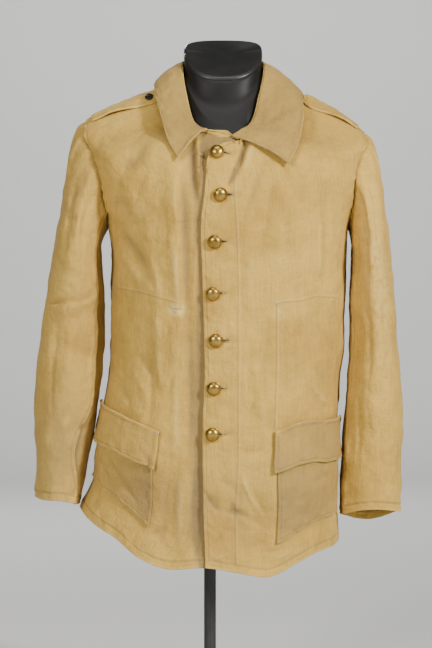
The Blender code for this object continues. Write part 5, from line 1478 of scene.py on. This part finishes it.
# Turned pieces
def ringed(name, rings, finish):
    """Closed surface through rings of points, the first and last ring being poles."""
    count = rings.shape[1]
    poles = np.stack([rings[0].mean(axis=0), rings[-1].mean(axis=0)])
    body = rings[1:-1]
    points = np.concatenate([body.reshape(-1, 3), poles])
    index = np.arange(len(body) * count).reshape(-1, count)
    after = np.roll(index, -1, axis=1)
    faces = np.stack([index[:-1], after[:-1], after[1:], index[1:]], axis=-1).reshape(-1, 4).tolist()
    first, last = len(points) - 2, len(points) - 1
    faces += [[first, b, a] for a, b in zip(index[0].tolist(), after[0].tolist())]
    faces += [[last, a, b] for a, b in zip(index[-1].tolist(), after[-1].tolist())]
    mesh = bpy.data.meshes.new(name)
    mesh.from_pydata(points.tolist(), [], faces)
    return stand_in_scene(name, mesh, finish, 55)


def turned(name, profile, segments, finish, seat=(0, 0, 0), normal=(0, 0, 1)):
    """Turned shape of radius and height pairs, standing on a seat along a normal."""
    angle = np.linspace(0.0, 2 * math.pi, segments, endpoint=False)
    profile = np.array(profile)
    ring = np.stack([np.cos(angle), np.sin(angle), 0 * angle], axis=-1)
    rings = ring[None] * profile[:, 0][:, None, None] + np.array([0, 0, 1.0]) * profile[:, 1][:, None, None]
    turn = np.array(Vector(normal).to_track_quat("Z", "Y").to_matrix())
    return ringed(name, rings @ turn.T + np.array(seat), finish)


def make_buttons():
    """Seven brass domes on the left front, and the dark button of the right strap."""
    x, z = np.array(BUTTONS).T
    turn, rise = place_on_front(x, z)
    seats, normals = cloth(turn, rise), cloth_normal(turn, rise)
    for number, (seat, normal) in enumerate(zip(seats, normals), start=1):
        normal = normal + np.array([BUTTON_SLEW[number - 1], 0.0, -BUTTON_DROOP])
        normal = normal / np.linalg.norm(normal)
        seat = seat - np.array([0.0, BUTTON_DROOP * 0.0040, 0.0])
        made = turned(f"brass_button_{number}", BRASS_PROFILE, BUTTON_SEGMENTS, BRASS, seat, normal)
        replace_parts(made, f"button_{number}")
    turn, rise = strap_grid(-1, np.array(STRAP_BUTTON_PLACE[0]), np.array(STRAP_BUTTON_PLACE[1]))
    normal = cloth_normal(turn, rise)
    made = turned("dark_strap_button", STRAP_BUTTON_PROFILE, BUTTON_SEGMENTS, DARK_METAL,
                  cloth(turn, rise) + normal * (STRAP_GAP + WALL), normal)
    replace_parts(made, "strap_button_right")


def form_ring(rise, turn):
    """Ring of the torso: the body surface moved in, level below the waist."""
    rise = np.full(turn.shape, rise)
    top = ease(0.80, 0.90, rise) * np.abs(sin_of(turn))**7
    clearance = FORM_CLEARANCE + (FORM_SHOULDER_CLEARANCE - FORM_CLEARANCE) * top
    clearance = clearance + FORM_NECKLINE_EXTRA * ease(0.96, 1.0, rise)
    normal = surface_normal(plain_body, turn, rise, *PLAIN_STEPS)
    point = plain_body(turn, rise) - normal * clearance[..., None]
    up, span = rise - FORM_BOTTOM_RISE, WAIST_RISE - FORM_BOTTOM_RISE
    level = FORM_BOTTOM_Z + (WAIST_Z - FORM_BOTTOM_Z) * up / span
    point[..., 2] = np.where(rise < WAIST_RISE, level, point[..., 2])
    return point


def neck_ring(level, turn):
    """Oval ring of the neck, its front lower than its back; level runs from 0 at its root to 2 at its top."""
    level = np.array(float(level))
    half_width, front_y, back_y, front_z, side_z, back_z = (
        smooth(np.arange(3.0), neck[name], level) for name in NECK_COLUMNS)
    corner, front_power, back_power = (
        np.interp(level, np.arange(3.0), powers)
        for powers in (NECK_CORNER_POWER, NECK_SLOPE_POWER["front"], NECK_SLOPE_POWER["back"]))
    across, along = ring_offset(turn, corner)
    x = NECK_X + half_width * across
    y = (front_y + back_y) / 2 + (back_y - front_y) / 2 * along
    front_slope = (front_z - side_z) * np.abs(along)**front_power
    back_slope = (back_z - side_z) * np.abs(along)**back_power
    z = side_z + np.where(along < 0, front_slope, back_slope)
    return np.stack([x, y, z], axis=-1)


def make_form():
    """Torso with its neck, the cap on the neck, the pole and the base plate."""
    turn = np.linspace(0.0, 360.0, FORM_COLUMNS, endpoint=False)
    low = form_ring(FORM_BOTTOM_RISE, turn)
    centre = low.mean(axis=0)
    sole = []
    for width, drop in ((0.0, 0.014), (0.84, 0.014), (0.92, 0.0125), (0.97, 0.0085), (0.993, 0.0040)):
        ring = centre + (low - centre) * width
        ring[:, 2] = FORM_BOTTOM_Z - drop
        sole.append(ring)
    rings = sole + [form_ring(rise, turn) for rise in np.linspace(FORM_BOTTOM_RISE, 1.0, 60)]
    rings += [neck_ring(level, turn) for level in np.linspace(0.0, 2.0, 17)]
    rim = neck_ring(2.0, turn)
    middle = rim.mean(axis=0)
    made = ringed("form_torso_black", np.array(rings + [middle + (rim - middle) * 0.0]), FORM)
    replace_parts(made, "form_torso")
    quarter = FORM_COLUMNS // 4
    slope = np.cross(rim[quarter] - rim[3 * quarter], rim[2 * quarter] - rim[0])
    slope = slope / np.linalg.norm(slope)
    cap = [middle + (rim - middle) * width + slope * (CAP_LIFT + CAP_THICKNESS * level)
           for width, level in CAP_PROFILE]
    made = ringed("neck_cap_black", np.array(cap), CAP)
    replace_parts(made, "neck_cap")
    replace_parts(turned("pole_black", POLE_PROFILE, 48, STEEL), "form_pole")
    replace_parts(turned("base_black", BASE_PROFILE, 128, STEEL), "base_plate")


# Sewing
BUTTONHOLE_HALF, BUTTONHOLE_WIDTH, BUTTONHOLE_OFFSET = 0.0095, 0.0020, 0.0085
BUTTONHOLE_TILT = (-4, 3, -2, 4, 2, -5, 1)


def buttonhole_threads():
    """Overcast buttonholes: short threads across the lips of each slit, and round both of its ends."""
    half = BUTTONHOLE_HALF
    share = np.linspace(0.0, 1.0, 64, endpoint=False)
    straight, cap = 2 * half, math.pi * 0.0016
    run = share * 2 * (straight + cap)
    past = run % (straight + cap)
    on_cap = past > straight
    swing = np.where(on_cap, (past - straight) / cap * math.pi, 0.0)
    sign = np.where(run < straight + cap, 1.0, -1.0)
    along = np.where(on_cap, half + BUTTONHOLE_WIDTH * np.sin(swing), past - half)
    aside = np.where(on_cap, BUTTONHOLE_WIDTH * np.cos(swing), BUTTONHOLE_WIDTH)
    place_x, place_z = along * sign, aside * sign
    out_x, out_z = (np.where(on_cap, wave, straight_out) * sign
                    for wave, straight_out in ((np.sin(swing), 0.0), (np.cos(swing), 1.0)))
    lines, slits = [], []
    for (x, z), tilt in zip(BUTTONS, BUTTONHOLE_TILT):
        cos, sin = math.cos(math.radians(tilt)), math.sin(math.radians(tilt))
        centre_x = x + BUTTONHOLE_OFFSET
        px = centre_x + place_x * cos - place_z * sin
        pz = z + place_x * sin + place_z * cos
        turn, rise = place_on_front(px, pz)
        centre, normal = cloth(turn, rise), cloth_normal(turn, rise)
        direction = np.stack([out_x * cos - out_z * sin, 0 * out_x, out_x * sin + out_z * cos], axis=-1)
        lines.append((centre + normal * 0.0002, direction, normal))
        # Each slit is a dark sheet laid just over the cloth: painted shadow in place of an opening.
        slit_x = np.linspace(-half * 1.02, half * 1.02, 25)
        wide = 0.0016 * np.sqrt(kept_in(1 - (slit_x / half / 1.03)**2))
        row = []
        for side in (-1.0, -0.4, 0.4, 1.0):
            sx = centre_x + slit_x * cos - side * wide * sin
            sz = z + slit_x * sin + side * wide * cos
            t, r = place_on_front(sx, sz)
            row.append(cloth(t, r) + cloth_normal(t, r) * (0.00012 + 0.0001 * (1 - abs(side))))
        slits.append(np.array(row))
    sew("buttonhole_threads", lines, ["front_left"], HOLE_THREAD, FINE_THREAD_RADIUS, 0.0022)
    rows, cols = slits[0].shape[:2]
    quads = np.concatenate([lattice_quads(rows, cols) + i * rows * cols for i in range(len(slits))])
    points = np.concatenate([slit.reshape(-1, 3) for slit in slits])
    shells["front_left"]["sewn"].append(lay_mesh("buttonhole_slits", points, quads, SLIT_SHADOW))


def bar(x, z, run_x, run_z, width, lift, pitch=0.0007):
    """Bartack: threads laid side by side along a short bar on the front, across its run."""
    length = math.hypot(run_x, run_z)
    at = np.arange(0.0, length, pitch) / length
    turn, rise = place_on_front(x + run_x * at, z + run_z * at)
    normal = cloth_normal(turn, rise)
    across = np.array([-run_z, 0.0, run_x]) / length
    centre = cloth(turn, rise) + normal * lift
    return centre, np.broadcast_to(across, centre.shape) * width, normal


def seen_path(name, pairs, spacing=0.0012, lift=0.0):
    """Path on a piece's outer face, seen from the front along these x and height pairs, and its normals."""
    shell = shells[name]
    facing = shell["normal"][..., 1] < -0.15
    points, normals = shell["outer"][facing], shell["normal"][facing]
    pairs = np.array(pairs)
    fine = between(pairs, np.arange(0.0, path_length(pairs), spacing))
    away = np.hypot(points[:, 0][None, :] - fine[:, :1], points[:, 2][None, :] - fine[:, 1:])
    near = np.argsort(away, axis=1)[:, :4]
    weight = 1 / (np.take_along_axis(away, near, axis=1) + 0.0002)
    weight = (weight / weight.sum(axis=1, keepdims=True))[..., None]
    normal = (normals[near] * weight).sum(axis=1)
    return (points[near] * weight).sum(axis=1) + normal * lift, normal


def tack(name, x, z, length, width):
    """Bartack on a piece: threads side by side across a short level bar."""
    centre, normal = seen_path(name, ((x, z), (x + length, z + length * 0.1)), 0.0006)
    return centre + normal * 0.0002, np.broadcast_to(np.array([0.1, 0.0, 1.0]) * width, centre.shape), normal


FLAP_TACK_X = {-1: -0.0765, 1: 0.0935}
MENDS = (
    ("sleeve_left_top", ((0.2375, 0.4880), (0.2520, 0.4862), (0.2720, 0.4868))),
    ("sleeve_left_top", ((0.2380, 0.4700), (0.2385, 0.4635), (0.2415, 0.4620), (0.2440, 0.4645),
                         (0.2442, 0.4700))),
    ("sleeve_right_top", ((-0.2100, 0.4830), (-0.2085, 0.4790), (-0.2095, 0.4755), (-0.2070, 0.4745))),
)


def seams(piece, *rows):
    """Rows of stitches along edges of one piece: edge, distance and the stretch of the edge."""
    return [edge_seam(piece, *row) for row in rows]


def make_stitching():
    """Every visible row of stitches, joined piece by piece."""
    sew("stitching_left_front", seams(
        "front_left", ("first", EDGE_STITCH, 0.02, 0.93), ("low", HEM_STITCH),
        ("high", EDGE_STITCH, 0.05, 0.20), ("last", 0.0020, 0.0, 0.55), ("last", 0.0070, 0.0, 0.55),
        ("last", ARMHOLE_STITCH, 0.62, 0.87))
        + [front_line(line) for line in (FACING_LINE,) + CHEST_LINES[1]], ["front_left"])
    sew("stitching_right_front", seams(
        "front_right", ("low", HEM_STITCH, 0.0, 0.86), ("first", 0.0020, 0.0, 0.55),
        ("first", 0.0070, 0.0, 0.55), ("first", ARMHOLE_STITCH, 0.62, 0.87))
        + [front_line(line) for line in CHEST_LINES[-1]], ["front_right"])
    sew("stitching_back", seams("back", ("low", HEM_STITCH)), ["back"])
    both = ("first", "last")
    for side, name in WEARER.items():
        top, under = f"sleeve_{name}_top", f"sleeve_{name}_under"
        strap, pocket, cover = f"shoulder_strap_{name}", f"pocket_{name}", f"pocket_flap_{name}"
        sew(f"stitching_sleeve_{name}", seams(top, ("low", HEM_STITCH)) + seams(under, ("low", HEM_STITCH))
            + seams(top, *((edge, at) for edge in both for at in (0.0018, 0.0066))), [top, under])
        sew(f"stitching_strap_{name}", seams(
            strap, *((edge, at) for edge in both for at in (0.0022, 0.0064))), [strap])
        sew(f"stitching_pocket_{name}", seams(
            pocket, *((edge, at) for edge in both + ("low",) for at in (0.0018, EDGE_STITCH + 0.0015))),
            [pocket])
        sew(f"stitching_flap_{name}", seams(
            cover, *((edge, EDGE_STITCH, 0.05, 0.95) for edge in both), ("low", EDGE_STITCH, 0.03, 0.97),
            ("high", 0.0020), ("high", 0.0065)), [cover])
    sew("stitching_collar", seams(
        "collar_fall", ("low", COLLAR_STITCH), *((edge, COLLAR_STITCH, 0.0, 0.72) for edge in both)),
        ["collar_fall"])
    buttonhole_threads()
    sew("bartacks_left_front", [bar(0.0935, 0.652, 0.006, 0.0, 0.003, 0.0004)], ["front_left"], PALE_THREAD,
        FINE_THREAD_RADIUS, 0.0030)
    sew("bartacks_right_front", [bar(-0.0560, 0.645, 0.016, -0.003, 0.003, 0.0004),
                                 bar(-0.0530, 0.640, 0.008, -0.002, 0.003, 0.0004)],
        ["front_right"], PALE_THREAD, FINE_THREAD_RADIUS, 0.0034)
    for side, name in WEARER.items():
        cover = f"pocket_flap_{name}"
        sew(f"bartacks_flap_{name}", [tack(cover, FLAP_TACK_X[side], 0.4640, 0.004, 0.003)], [cover],
            PALE_THREAD, FINE_THREAD_RADIUS, 0.0028)
    for name in WEARER.values():
        top = f"sleeve_{name}_top"
        paths = [seen_path(top, pairs, lift=0.0008) for piece, pairs in MENDS if piece == top]
        sew(f"mend_{top}", [stitch_line(*path, 0.0020, 0.0024) for path in paths], [top], PALE_THREAD,
            0.00085, 0.0026)


def make_stage():
    """Pale floor that curves up into a low wall far behind, as one surface."""
    drop = np.radians(np.linspace(0.0, 90.0, 24))
    y = np.concatenate([[-7.0, 0.0], 5.1 + 1.2 * np.sin(drop), [6.3]])
    z = np.concatenate([[0.0, 0.0], 1.2 - 1.2 * np.cos(drop), [2.3]])
    x = np.array([-7.0, 7.0])
    points = np.stack([np.broadcast_to(x[None, :], (len(y), 2)), np.broadcast_to(y[:, None], (len(y), 2)),
                       np.broadcast_to(z[:, None], (len(y), 2))], axis=-1).reshape(-1, 3)
    mesh = bpy.data.meshes.new("studio_floor")
    mesh.from_pydata(points.tolist(), [], lattice_quads(len(y), 2).tolist())
    mesh.materials.append(plain_finish("pale_paper", (0.72, 0.72, 0.71, 1), 0.8))
    mesh.shade_smooth()
    floor = bpy.data.objects.new("studio_floor", mesh)
    bpy.context.collection.objects.link(floor)


def light(name, place, aim, size, power, colour):
    lamp = bpy.data.lights.new(name, "AREA")
    lamp.shape = "RECTANGLE"
    lamp.size, lamp.size_y = size
    lamp.energy = power
    lamp.color = colour
    made = bpy.data.objects.new(name, lamp)
    made.location = place
    made.rotation_mode = "QUATERNION"
    made.rotation_quaternion = (Vector(aim) - Vector(place)).to_track_quat("-Z", "Y")
    bpy.context.collection.objects.link(made)


def make_light_and_camera():
    light("softbox_right", (2.4, -2.4, 2.05), (0.0, 0.0, 0.64), (0.5, 0.7), 188.0, (1.0, 0.98, 0.95))
    light("softbox_left", (-1.7, -2.9, 1.75), (0.0, 0.0, 0.66), (0.6, 0.8), 80.0, (1.0, 0.98, 0.96))
    light("softbox_top", (0.1, -1.0, 2.9), (0.0, 0.0, 0.7), (1.2, 0.8), 22.0, (1.0, 0.99, 0.97))
    light("softbox_back", (-0.9, 3.2, 2.5), (0.0, 0.0, 0.70), (0.8, 0.6), 48.0, (1.0, 0.99, 0.98))
    light("softbox_wall", (0.0, 3.4, 3.0), (0.0, 6.3, 0.9), (4.0, 0.6), 95.0, (1.0, 0.99, 0.98))
    world = bpy.data.worlds.new("studio_air")
    world.use_nodes = True
    world.node_tree.nodes["Background"].inputs[0].default_value = (0.86, 0.94, 1.0, 1)
    world.node_tree.nodes["Background"].inputs[1].default_value = 0.10
    bpy.context.scene.world = world
    camera = bpy.data.cameras.new("studio_camera")
    camera.sensor_fit = "AUTO"
    camera.sensor_width = 36.0
    camera.lens = 18.0 / (0.486 / 3.0)
    made = bpy.data.objects.new("studio_camera", camera)
    made.location = (0.009, -3.0, 0.62)
    made.rotation_euler = (math.radians(90), 0, 0)
    bpy.context.collection.objects.link(made)
    bpy.context.scene.camera = made


make_front_left()
make_front_right()
make_back()
for side_of_body in (-1, 1):
    make_sleeve(side_of_body)
    make_strap(side_of_body)
    make_pocket(side_of_body)
    make_flap(side_of_body)
make_collar_stand()
make_collar_fall()
make_buttons()
make_form()
make_stitching()
make_stage()
make_light_and_camera()
